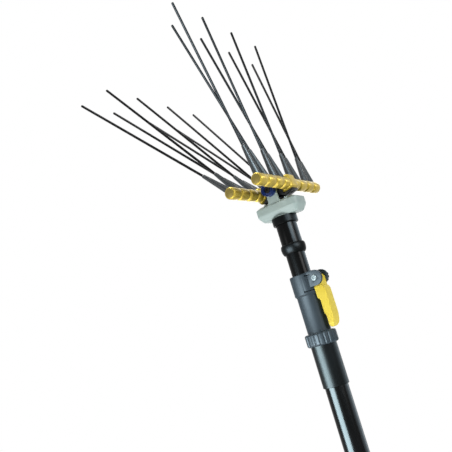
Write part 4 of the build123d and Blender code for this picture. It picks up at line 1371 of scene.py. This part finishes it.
@dataclass
class PoleClamp(Assembly):
    """The quick-release clamp: sleeve, ring nut, split body, cam lever, bolt and thumb nut."""

    sleeve_bore: float = 17.55
    sleeve_wall: float = 2.0
    sleeve_ease: float = 0.7
    flange_height: float = 5.0
    body_ease: float = 0.7
    pin_x: float = 24.5
    pin_z: float = 1197.3
    pin_bore: float = 3.05
    lever: CamLever = CamLever()
    ring_nut: FlutedRing = FlutedRing(
        r=23.85, bore=19.85, edge=3.4, flutes=20, flute_r=1.3, flute_depth=1.2, steps=18
    )
    thumb_nut: FlutedRing = FlutedRing(
        r=10.5, bore=pin_bore, edge=1.4, flutes=12, flute_r=1.3, flute_depth=0.9, steps=14
    )
    bolt: SocketScrew = SocketScrew(4.5, 2.5, 3.0, 31.1, 1.9, edge=0.7, socket_depth=1.6, segments=72)

    def build(self) -> None:
        """Turn, grow and copy the clamp's pieces."""
        body = "lower_pole"
        self.add(self.sleeve(), NYLON, body, "clamp_sleeve")
        low, high = span("union_nut")
        nut = self.ring_nut.grown("ring_nut", high.z - low.z, RING)
        nut.transform(Matrix.Translation((0, 0, low.z * MM)))
        self.add(nut, RING, body, "union_nut")
        low, high = span("thumb_nut")
        knob = self.thumb_nut.grown("thumb_knob", high.y - low.y, NYLON)
        knob.transform(along_y(self.pin_x, low.y, self.pin_z))
        self.add(knob, NYLON, "thumb_nut", "thumb_nut")
        moulding = from_node("clamp_moulding", self.nodes["clamp_body"], self.body_ease)
        self.add(moulding, CLAMP, body, "clamp_body")
        self.add(self.lever.shaped(self.pin_x, self.pin_z, self.pin_bore), YELLOW, "cam_lever", "cam_lever")
        low, _ = span("lever_bolt")
        place = along_y(self.pin_x, low.y, self.pin_z, -1)
        self.add(self.bolt.turned("cross_bolt", place), ZINC, body, "lever_bolt")

    def sleeve(self) -> Mesh:
        """Turn the flanged sleeve that the ring nut pulls up.

        Returns:
            The sleeve's mesh.
        """
        low, high = span("clamp_sleeve")
        bore = self.sleeve_bore
        r = bore + self.sleeve_wall
        step = high.z - self.flange_height
        corners = [
            (bore, step), (bore, low.z), (r, low.z), (r, step),
            (high.x, step), (high.x, high.z), (bore, high.z),
        ]
        return lathe("pole_sleeve", corners, self.sleeve_ease)


@dataclass
class UpperPole(Assembly):
    """The sliding tube, the reducer ring, the motor tube and the collar under the head."""

    tube_wall: float = 1.5
    tube_ease: float = 0.5
    fit: float = 0.05
    ring_rim: float = 0.8
    ring_fullness: float = 0.5
    ring_steps: int = 16
    spigot_wall: float = 1.65
    spigot_depth: float = 9.0
    collar_ease: float = 0.8
    collar_lead: float = 1.5
    lip_inset: float = 0.4
    lip_height: float = 1.2

    def build(self) -> None:
        """Turn the round pieces of the upper pole."""
        body = "upper_pole"
        for name, node in (("sliding_tube", "inner_tube"), ("drive_tube", "motor_tube")):
            low, high = span(node)
            tube = pipe(name, high.x, high.x - self.tube_wall, low.z, high.z, self.tube_ease)
            self.add(tube, TUBE, body, node)
        self.add(self.step_ring(), NYLON, body, "reducer_ring")
        self.add(self.collar(), NYLON, body, "head_collar")

    def step_ring(self) -> Mesh:
        """Turn the swelling ring where the motor tube steps down to the sliding tube.

        Returns:
            The ring's mesh.
        """
        low, high = span("reducer_ring")
        small = span("inner_tube")[1].x + self.fit
        large = span("motor_tube")[1].x + self.fit
        middle = (low.z + high.z) / 2
        swell = high.x - (small + large) / 2 - self.ring_rim
        outline = [(small, middle), (small, low.z)]
        for step in range(self.ring_steps + 1):
            t = step / self.ring_steps
            rim = small + t * (large - small) + self.ring_rim
            bulge = swell * math.sin(math.pi * t) ** self.ring_fullness
            outline.append((rim + bulge, low.z + t * (high.z - low.z)))
        outline += [(large, high.z), (large, middle)]
        return turned("step_ring", [Ring(r, z) for r, z in outline])

    def collar(self) -> Mesh:
        """Turn the collar that hides the housing's spigot.

        Returns:
            The collar's mesh.
        """
        low, high = span("head_collar")
        bore = span("motor_tube")[1].x + self.fit
        spigot = bore + self.spigot_wall + self.fit
        seat = high.z - self.spigot_depth
        corners = [
            (bore, low.z + self.collar_lead), (bore, low.z), (high.x - self.lip_inset, low.z),
            (high.x, low.z + self.lip_height), (high.x, high.z), (spigot, high.z), (spigot, seat),
            (bore, seat),
        ]
        return lathe("neck_collar", corners, self.collar_ease)


@dataclass
class GearHead(Assembly):
    """The cast housing with its towers, bushes, seal and screws."""

    length: float = 75.0
    width: float = 40.0
    corner: float = 11.0
    wall: float = 3.0
    cast_edge: float = 1.6
    spigot_depth: float = 9.0
    spigot_bore: float = 16.5
    spigot_r: float = 18.15
    base_chamfer_inset: float = 7.0
    base_chamfer_height: float = 9.5
    seam_rise: float = 0.5
    cover_height: float = 4.6
    cover_chamfer_inset: float = 8.0
    cover_chamfer_height: float = 3.8
    cover_land: float = 1.0
    slot_width: float = 15.66
    slot_length: float = 27.95
    slot_corner: float = 0.2
    slot_steps: int = 2
    pocket_length: float = 30.3
    pocket_depth: float = 2.2
    cut_margin: float = 1.0
    seal_ease: float = 0.4
    tower_r: float = 9.0
    tower_inner: float = 14.23
    tower_thickness: float = 4.5
    tower_edge: float = 1.5
    tower_ease: float = 0.7
    tower_sink: float = 0.2
    tower_steps: int = 32
    flare: float = 1.8
    flare_below: float = 1.0
    flare_height: float = 4.0
    flare_steps: int = 6
    screw_x: float = 18.5
    screw_y: float = 12.0
    seat_fit: float = 0.1
    seat_rise: float = 2.0
    seat_segments: int = 32
    pivot_z: float = 1345.5
    shaft_r: float = 5.05
    bush_r: float = 7.55
    bush_ease: float = 0.6
    eye_r: float = 10.8
    eye_length: float = 9.3
    recess_r: float = 5.8
    recess_depth: float = 3.0
    groove_r: float = 8.6
    groove_width: float = 1.5
    groove_depth: float = 1.1
    groove_slope: float = 0.2
    cover_screw: SocketScrew = SocketScrew(3.0, 2.2, 1.5, 16.0, 1.3)
    end_screw: SocketScrew = SocketScrew(4.9, 2.2, 2.0, 7.0, 2.2, socket_depth=1.6)

    def build(self) -> None:
        """Shape the castings, turn the bushes and set the screws."""
        body = "upper_pole"
        self.add(self.lower_casting(), CAST, body, "housing_base")
        self.add(self.upper_casting(), CAST, body, "housing_cover")
        self.add(from_node("slot_seal", self.nodes["dust_seal"], self.seal_ease), RUBBER, body, "dust_seal")
        for name, outward in (("front_bush", -1), ("rear_bush", 1)):
            self.add(self.bush(name, outward), BLUE, body, name)
        _, high = span("cover_screws")
        up = Vector((0, 0, 1))
        places = [(Vector((x, y, high.z)) * MM, up) for x, y in self.screw_spots()]
        self.add(self.cover_screw.set_on("casting_screws", places, ZINC), ZINC, body, "cover_screws")
        low, high = span("pivot_screws")
        ends = [
            (Vector((0, y, self.pivot_z)) * MM, Vector((0, y, 0)).normalized()) for y in (low.y, high.y)
        ]
        screws = self.end_screw.set_on("shaft_screws", ends, BLACK_OXIDE)
        self.add(screws, BLACK_OXIDE, body, "pivot_screws")

    def screw_spots(self) -> Points:
        """List where the cover screws stand."""
        return [(x, y) for x in (-self.screw_x, self.screw_x) for y in (-self.screw_y, self.screw_y)]

    def lower_casting(self) -> Mesh:
        """Shape the gear housing: a hollow tray with a broad chamfer below, on its spigot.

        Returns:
            The lower casting's mesh.
        """
        low, high = span("housing_base")
        floor = low.z + self.spigot_depth
        chamfer_top = floor + self.base_chamfer_height
        inside = self.base_chamfer_inset + self.wall
        rim = high.z + self.seam_rise
        outside = [(inside, floor), (self.base_chamfer_inset, floor), (0, chamfer_top), (0, rim)]
        hollow = [(self.wall, rim), (self.wall, chamfer_top), (inside, floor + self.wall)]
        profile = [*eased(outside, self.cast_edge), *hollow]
        tray = prism("tray", rounded_rectangle(self.length, self.width, self.corner), profile)
        spigot = pipe("spigot", self.spigot_r, self.spigot_bore, low.z, floor + self.wall / 2)
        return joined("lower_casting", [tray, spigot])

    def upper_casting(self) -> Mesh:
        """Shape the cover: a chamfered lid with its slot and screw seats, and the two bearing towers.

        Returns:
            The upper casting's mesh.
        """
        low, _ = span("housing_cover")
        top = low.z + self.cover_height
        inset = self.cover_chamfer_inset
        shoulder = top - self.cover_chamfer_height
        outside = [(0, low.z), (0, shoulder), (inset, top), (inset + self.cover_land, top)]
        profile = [(inset, low.z), *eased(outside, self.cast_edge)]
        lid = prism("lid", rounded_rectangle(self.length, self.width, self.corner), profile)
        below = (0, low.z - self.cut_margin)
        cutters = []
        for name, width, end in (
            ("slot", self.slot_width, top + self.cut_margin),
            ("pocket", self.pocket_length, low.z + self.pocket_depth),
        ):
            outline = rounded_rectangle(width, self.slot_length, self.slot_corner, self.slot_steps)
            cutters.append(prism(name, outline, [below, (0, end)]))
        seat_r = self.cover_screw.head_r + self.seat_fit
        seat = top - self.cover_screw.head_height / 2
        above = top + self.seat_rise
        rings = [Ring(0, seat), Ring(seat_r, seat), Ring(seat_r, above), Ring(0, above)]
        for x, y in self.screw_spots():
            place = Matrix.Translation((x * MM, y * MM, 0))
            cutters.append(turned("seat", rings, place, self.seat_segments))
        towers = [
            self.tower(start, low.z, top)
            for start in (-self.tower_inner, self.tower_inner + self.tower_thickness)
        ]
        return joined("upper_casting", [cut_away("cut_lid", lid, cutters), *towers])

    def tower(self, start: float, low: float, top: float) -> Mesh:
        """Shape a bearing tower: a round head on a foot that flares into the lid.

        Args:
            start: where the tower starts along Y; it runs towards minus Y.
            low: height of the lid's underside.
            top: height of the lid's top.

        Returns:
            The tower's mesh.
        """
        r = self.tower_r
        right = [(r + self.flare, low - self.pivot_z + self.tower_sink)]
        for step in range(self.flare_steps + 1):
            t = step / self.flare_steps
            height = top - self.pivot_z - self.flare_below + self.flare_height * t
            right.append((r + self.flare * (1 - t) ** 2, height))
        head = [(r * math.cos(angle), r * math.sin(angle)) for angle in arc(0, 180, self.tower_steps)]
        left = [(-x, y) for x, y in reversed(right)]
        edge = self.tower_edge
        depth = self.tower_thickness
        profile = eased([(edge, 0), (0, 0), (0, depth), (edge, depth)], self.tower_ease)
        return prism("tower", [*right, *head, *left], profile, along_y(0, start, self.pivot_z, -1))

    def bush(self, node: str, outward: int) -> Mesh:
        """Turn a flanged bush with a ring groove in its face.

        Args:
            node: the bush's solid.
            outward: the sense of Y that its face looks in.

        Returns:
            The bush's mesh.
        """
        low, high = span(node)
        start = high.y if outward < 0 else low.y
        flange = self.tower_thickness
        face = flange + self.eye_length
        floor = face - self.groove_depth
        near = self.groove_r - self.groove_width / 2
        far = self.groove_r + self.groove_width / 2
        slope = self.groove_slope
        seat = face - self.recess_depth
        corners = [
            (self.shaft_r, flange), (self.shaft_r, 0), (self.bush_r, 0), (self.bush_r, flange),
            (self.eye_r, flange), (self.eye_r, face), (far + slope, face), (far, floor), (near, floor),
            (near - slope, face), (self.recess_r, face), (self.recess_r, seat), (self.shaft_r, seat),
        ]
        place = along_y(0, start, self.pivot_z, outward)
        return lathe(node + "_moulding", corners, self.bush_ease, place)


@dataclass
class Comb(Assembly):
    """One comb: its beaded bar and boss, the rods, their sleeves, the screw and the rocker."""

    name: str = "right"
    side: int = 1
    rise: float = 1.9
    lean: float = 10.3
    along_set: float = 3.5
    offset: float = 24.2
    pivot_z: float = 1345.5
    count: int = 8
    pitch: float = 24.1
    gap: float = 4.0
    row_angle: float = 3.4
    fan_reach: float = 500.0
    bar_r: float = 9.5
    bar_rings: int = 400
    bar_sides: int = 64
    end_margin: float = 10.5
    end_round: float = 2.5
    groove_r: float = 3.4
    groove_depth: float = 3.8
    groove_shift: float = 4.0
    crown: float = 0.8
    boss_width: float = 20.0
    boss_length: float = 27.0
    boss_corner: float = 7.0
    boss_edge: float = 2.5
    boss_ease: float = 1.2
    below: float = 11.0
    above: float = 12.6
    rocker_ease: float = 0.5
    rod: TaperedRod = TaperedRod(
        foot=2.0, tip=302.0, foot_r=2.0, tip_r=2.0, flare=1.0, rings=12, sides=20
    )
    sleeve: TaperedRod = TaperedRod(
        foot=7.0, tip=54.0, foot_r=5.6, tip_r=2.9, flare=0.9, rings=16, sides=28
    )
    screw: SocketScrew = SocketScrew(5.0, 2.6, 3.0, 25.8, 2.5, edge=0.8, socket_depth=2.0, segments=48)

    def frame(self) -> Matrix:
        """Give the comb's place: Y along its bar and Z out along its tines."""
        turn = Matrix.Rotation(math.radians(-self.lean), 4, "Y")
        return Matrix.Translation((self.side * self.offset * MM, 0, (self.pivot_z + self.rise) * MM)) @ turn

    def along(self, index: int) -> float:
        """Give how far along the bar a tine stands."""
        place = (index - (self.count - 1) / 2) * self.pitch
        return place + math.copysign(self.gap / 2, place)

    def feet(self) -> Places:
        """List the foot and the direction of each tine, in two alternating rows that fan out.

        Returns:
            Point in metres and direction of each tine.
        """
        place = self.frame()
        x_dir, z_dir = place.col[0].to_3d(), place.col[2].to_3d()
        tilt = math.radians(self.row_angle)
        feet = []
        for index in range(self.count):
            along = self.along(index)
            row = self.side * (1 if index % 2 == 0 else -1)
            spread = Vector((0, along / self.fan_reach + math.tan(math.radians(self.along_set)), 0))
            direction = x_dir * (row * math.sin(tilt)) + z_dir * math.cos(tilt) + spread
            feet.append((place.translation + Vector((0, along * MM, 0)), direction.normalized()))
        return feet

    def build(self) -> None:
        """Grow the bar and the tines, shape the boss and the screw, and copy the rocker."""
        body = f"{self.name}_comb"
        self.add(self.bar(), GOLD, body, f"{self.name}_bar")
        self.add(self.boss(), GOLD, body)
        feet = self.feet()
        self.add(self.rod.set_on(f"{self.name}_rods", feet, TINE), TINE, body, f"{self.name}_tines")
        sleeves = self.sleeve.set_on(f"{self.name}_rod_sleeves", feet, TINE_SLEEVE)
        self.add(sleeves, TINE_SLEEVE, body, f"{self.name}_sleeves")
        top = self.frame() @ Matrix.Translation((0, 0, (self.above + self.screw.head_height) * MM))
        screw = self.screw.turned(f"{self.name}_boss_screw", top)
        self.add(screw, BLACK_OXIDE, body, f"{self.name}_bar_screw")
        rocker = f"{self.name}_rocker"
        self.add(from_node(rocker + "_arm", self.nodes[rocker], self.rocker_ease), ROCKER, body, rocker)

    def bar(self) -> Mesh:
        """Grow the beaded bar and stand it in its place.

        Returns:
            The bar's mesh.
        """
        lengths = {
            "Length": 2 * (self.along(self.count - 1) + self.end_margin),
            "Radius": self.bar_r,
            "Pitch": self.pitch,
            "Centre gap": self.gap,
            "Groove radius": self.groove_r,
            "Groove depth": self.groove_depth,
            "Groove shift": self.groove_shift,
            "Crown": self.crown,
            "End round": self.end_round,
        }
        settings = {
            "Last groove": self.count / 2 - 1,
            "Rings": self.bar_rings,
            "Sides": self.bar_sides,
            "Finish": GOLD.material(),
        }
        bar = grow(f"{self.name}_beaded_bar", beaded_bar_tree(), lengths, settings)
        bar.transform(self.frame())
        return bar

    def boss(self) -> Mesh:
        """Shape the block in the middle of the bar that the rocker carries.

        Returns:
            The boss's mesh.
        """
        edge = self.boss_edge
        profile = [
            (2 * edge, -self.below), (edge, -self.below), (0, edge - self.below),
            (0, self.above - edge), (edge, self.above), (2 * edge, self.above),
        ]
        block = rounded_rectangle(self.boss_width, self.boss_length, self.boss_corner)
        return prism(f"{self.name}_boss", block, eased(profile, self.boss_ease), self.frame())


@dataclass(frozen=True)
class SoftBox:
    """A studio lamp: where it hangs, what it faces, its size in metres, its power and its tint."""

    name: str
    place: tuple[float, float, float]
    faces: tuple[float, float, float]
    width: float
    height: float
    power: float
    tint: str = "#FFFFFF"
    lights_matt: bool = True
    only_on: tuple[str, ...] = ()
    kept_off: tuple[str, ...] = ()

    def hang(self) -> None:
        """Hang the lamp, with flags that keep it to some pieces or off others."""
        data = bpy.data.lights.new(self.name, "AREA")
        data.shape = "RECTANGLE"
        data.size = self.width
        data.size_y = self.height
        data.energy = self.power
        data.color = linear(self.tint)[:3]
        lamp = show(self.name, data)
        aim = Vector(self.faces) - Vector(self.place)
        lamp.rotation_euler = aim.to_track_quat("-Z", "Y").to_euler()
        lamp.location = self.place
        lamp.visible_diffuse = self.lights_matt
        flagged = self.only_on or self.kept_off
        if flagged:
            pieces = bpy.data.collections.new(self.name + "_pieces")
            for piece in flagged:
                pieces.objects.link(bpy.data.objects[piece])
            for member in pieces.collection_objects:
                member.light_linking.link_state = "INCLUDE" if self.only_on else "EXCLUDE"
            lamp.light_linking.receiver_collection = pieces


@dataclass(frozen=True)
class Glint(SoftBox):
    """A lamp, cool unless tinted otherwise, that shows only in the gloss of the pieces it falls on."""

    tint: str = "#D8F1FF"
    lights_matt: bool = False


# What each glint falls on, as flags beside the lamps keep it off the rest
LEFT_GLINT = ("lower_tube", "pole_sleeve")
CLAMP_GLINT = ("ring_nut", "clamp_moulding", "step_ring", "sliding_tube")
RIGHT_GLINT = ("lower_tube", "pole_sleeve", "drive_tube", "step_ring", "neck_collar")
COMB_GLINT = ("right_rod_sleeves", "right_rods")
ROD_GLINT = ("right_rods",)
BEAD_GLINT = ("right_beaded_bar", "right_boss", "left_beaded_bar", "left_boss")
RIM_GLINT = ("lower_tube", "pole_sleeve", "sliding_tube", "drive_tube", "neck_collar")


@dataclass
class Studio:
    """Plain floor, soft light and the photograph's camera."""

    position: tuple[float, float, float] = (0.4083, -0.8182, 1.1257)
    right: tuple[float, float, float] = (0.78313, 0.55887, -0.27271)
    down: tuple[float, float, float] = (-0.33911, 0.01621, -0.94061)
    forward: tuple[float, float, float] = (-0.52125, 0.8291, 0.20221)
    focal_px: float = 600.0
    image_px: int = 452
    sensor_mm: float = 36.0
    ambient: float = 0.14
    white: str = "#FFFFFF"
    paper_white: str = "#F4F4F1"
    paper_roughness: float = 0.9
    floor_r: float = 2.4
    floor_segments: int = 96
    floor_gap: float = 0.001
    fade_from: float = 0.6
    fade_to: float = 2.2
    floor_glow: float = 0.35
    lamps: tuple[SoftBox, ...] = (
        SoftBox("overhead", (-0.25, -0.25, 2.80), (0, 0, 1.3), 0.8, 0.8, 27.0),
        SoftBox("bounce", (-0.30, -0.70, 0.30), (0, -0.05, 1.3), 1.3, 1.1, 19.0, kept_off=("pale_floor",)),
        SoftBox("left_key", (-0.83, -1.60, 0.95), (0, 0, 1.1), 0.7, 1.1, 7.0, kept_off=("pale_floor",)),
        SoftBox("right_fill", (1.80, -0.35, 1.60), (0, 0, 1.3), 0.8, 0.9, 24.0),
        SoftBox("back_fill", (-0.80, 2.20, 1.70), (0, 0, 1.2), 1.5, 1.5, 24.0),
        Glint(
            "left_glint", (-0.83, -1.60, 0.80), (0, 0, 1.0), 1.6, 1.8, 1250.0, "#CFEBF4", only_on=LEFT_GLINT
        ),
        Glint("clamp_glint", (-0.45, -1.75, 0.80), (0, 0, 1.1), 1.6, 1.2, 360.0, only_on=CLAMP_GLINT),
        Glint("right_glint", (1.58, -0.86, 1.80), (0, 0, 1.3), 1.1, 0.9, 92.0, only_on=RIGHT_GLINT),
        Glint("comb_glint", (1.58, -0.86, 1.80), (0, 0, 1.3), 1.1, 0.9, 90.0, only_on=COMB_GLINT),
        Glint("rod_glint", (0.0, -1.80, 2.20), (0, 0, 1.5), 1.4, 0.5, 125.0, only_on=ROD_GLINT),
        Glint("bead_glint", (1.27, 1.27, 1.72), (0, 0, 1.35), 0.4, 0.4, 8.0, "#FFF6D8", only_on=BEAD_GLINT),
        Glint("rim_glint", (1.15, 1.30, 1.20), (0, 0, 1.1), 2.0, 1.6, 44.0, only_on=RIM_GLINT),
    )

    def build(self) -> None:
        """Set up the camera, the world, the floor and the lamps."""
        self.camera()
        self.world()
        self.floor()
        for lamp in self.lamps:
            lamp.hang()
        bpy.context.scene.view_settings.view_transform = "Standard"

    def camera(self) -> None:
        """Stand the camera where the photograph was taken from."""
        data = bpy.data.cameras.new("photo_camera")
        data.sensor_width = self.sensor_mm
        data.lens = self.focal_px / self.image_px * self.sensor_mm
        data.clip_start = 0.01
        camera = show("photo_camera", data)
        turn = Matrix((self.right, -Vector(self.down), -Vector(self.forward))).transposed()
        camera.matrix_world = Matrix.Translation(self.position) @ turn.to_4x4()
        bpy.context.scene.camera = camera

    def seen(self, tree: NodeTree) -> Node:
        """Tell rays that show the background, straight or in a reflection, from those that carry light.

        Args:
            tree: the shader tree of the world or the floor.

        Returns:
            The node that gives one for the rays that show it, and zero for the others.
        """
        path = add_node(tree, "ShaderNodeLightPath").outputs
        plain = add_node(
            tree, "ShaderNodeMath", {0: path["Is Camera Ray"], 1: path["Is Glossy Ray"]}, operation="MAXIMUM"
        )
        return add_node(
            tree, "ShaderNodeMath", {0: plain, 1: path["Is Transmission Ray"]}, operation="MAXIMUM"
        )

    def world(self) -> None:
        """Light softly from all round, and show plain white to the camera and in reflections."""
        world = bpy.data.worlds.new("studio_white")
        tree = bare_tree(world)
        level = add_node(
            tree, "ShaderNodeMapRange", {"Value": self.seen(tree), "To Min": self.ambient, "To Max": 1.0}
        )
        shade = add_node(tree, "ShaderNodeBackground", {"Color": linear(self.white), "Strength": level})
        add_node(tree, "ShaderNodeOutputWorld", {"Surface": shade})
        bpy.context.scene.world = world

    def floor(self) -> None:
        """Lay a round pale floor under the butt end, which takes the shadow and fades into the white."""
        low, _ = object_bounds()
        shape = bmesh.new()
        bmesh.ops.create_circle(shape, cap_ends=True, segments=self.floor_segments, radius=self.floor_r)
        mesh = to_mesh(shape, "pale_floor", Matrix.Translation((0, 0, low.z - self.floor_gap)))
        mesh.materials.append(self.paper())
        floor = show("pale_floor", mesh)
        floor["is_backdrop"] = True

    def paper(self) -> Material:
        """Build the floor's matt white paper, which turns to plain white away from the object.

        Returns:
            The floor's material.
        """
        paper = bpy.data.materials.new("matt_paper")
        tree = bare_tree(paper)
        place = add_node(tree, "ShaderNodeTexCoord").outputs["Object"]
        flat = add_node(tree, "ShaderNodeVectorMath", {0: place, 1: (1, 1, 0)}, operation="MULTIPLY")
        reach = add_node(tree, "ShaderNodeVectorMath", {0: flat}, operation="LENGTH").outputs["Value"]
        away = add_node(
            tree,
            "ShaderNodeMapRange",
            {
                "Value": reach,
                "From Min": self.fade_from,
                "From Max": self.fade_to,
                "To Min": self.floor_glow,
            },
            interpolation_type="SMOOTHSTEP",
        )
        share = add_node(tree, "ShaderNodeMath", {0: away, 1: self.seen(tree)}, operation="MULTIPLY")
        matt = add_node(
            tree,
            "ShaderNodeBsdfPrincipled",
            {"Base Color": linear(self.paper_white), "Roughness": self.paper_roughness},
        )
        plain = add_node(tree, "ShaderNodeEmission", {"Color": linear(self.white), "Strength": 1.0})
        mixed = add_node(tree, "ShaderNodeMixShader", {0: share, 1: matt, 2: plain})
        add_node(tree, "ShaderNodeOutputMaterial", {"Surface": mixed})
        return paper


def dress_nodes(frame: dict[str, Any]) -> None:
    """Give each solid that still shows the finish of its material slot.

    Args:
        frame: the loaded frame.
    """
    by_slot = {finish.slot: finish for finish in FINISHES}
    for entry in frame["record"]["subparts"]:
        node = frame["nodes"][entry["node"]]
        node.data.materials.clear()
        node.data.materials.append(by_slot[entry["material_slot"]].material())


def main() -> None:
    """Load the frame, build each sub-assembly in order and report it."""
    logging.basicConfig(level=logging.INFO, format="%(name)s %(message)s")
    for thing in list(bpy.data.objects):
        bpy.data.objects.remove(thing)
    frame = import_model()
    dress_nodes(frame)
    nodes = frame["nodes"]
    assemblies = [
        LowerPole(nodes),
        SwitchHousing(nodes),
        PoleClamp(nodes),
        UpperPole(nodes),
        GearHead(nodes),
        Comb(nodes),
        Comb(nodes, name="left", side=-1, rise=-1.0, lean=37.2, along_set=-1.1),
    ]
    for assembly in assemblies:
        assembly.build()
        assembly.dress()
    Studio().build()


if __name__ == "__main__":
    main()
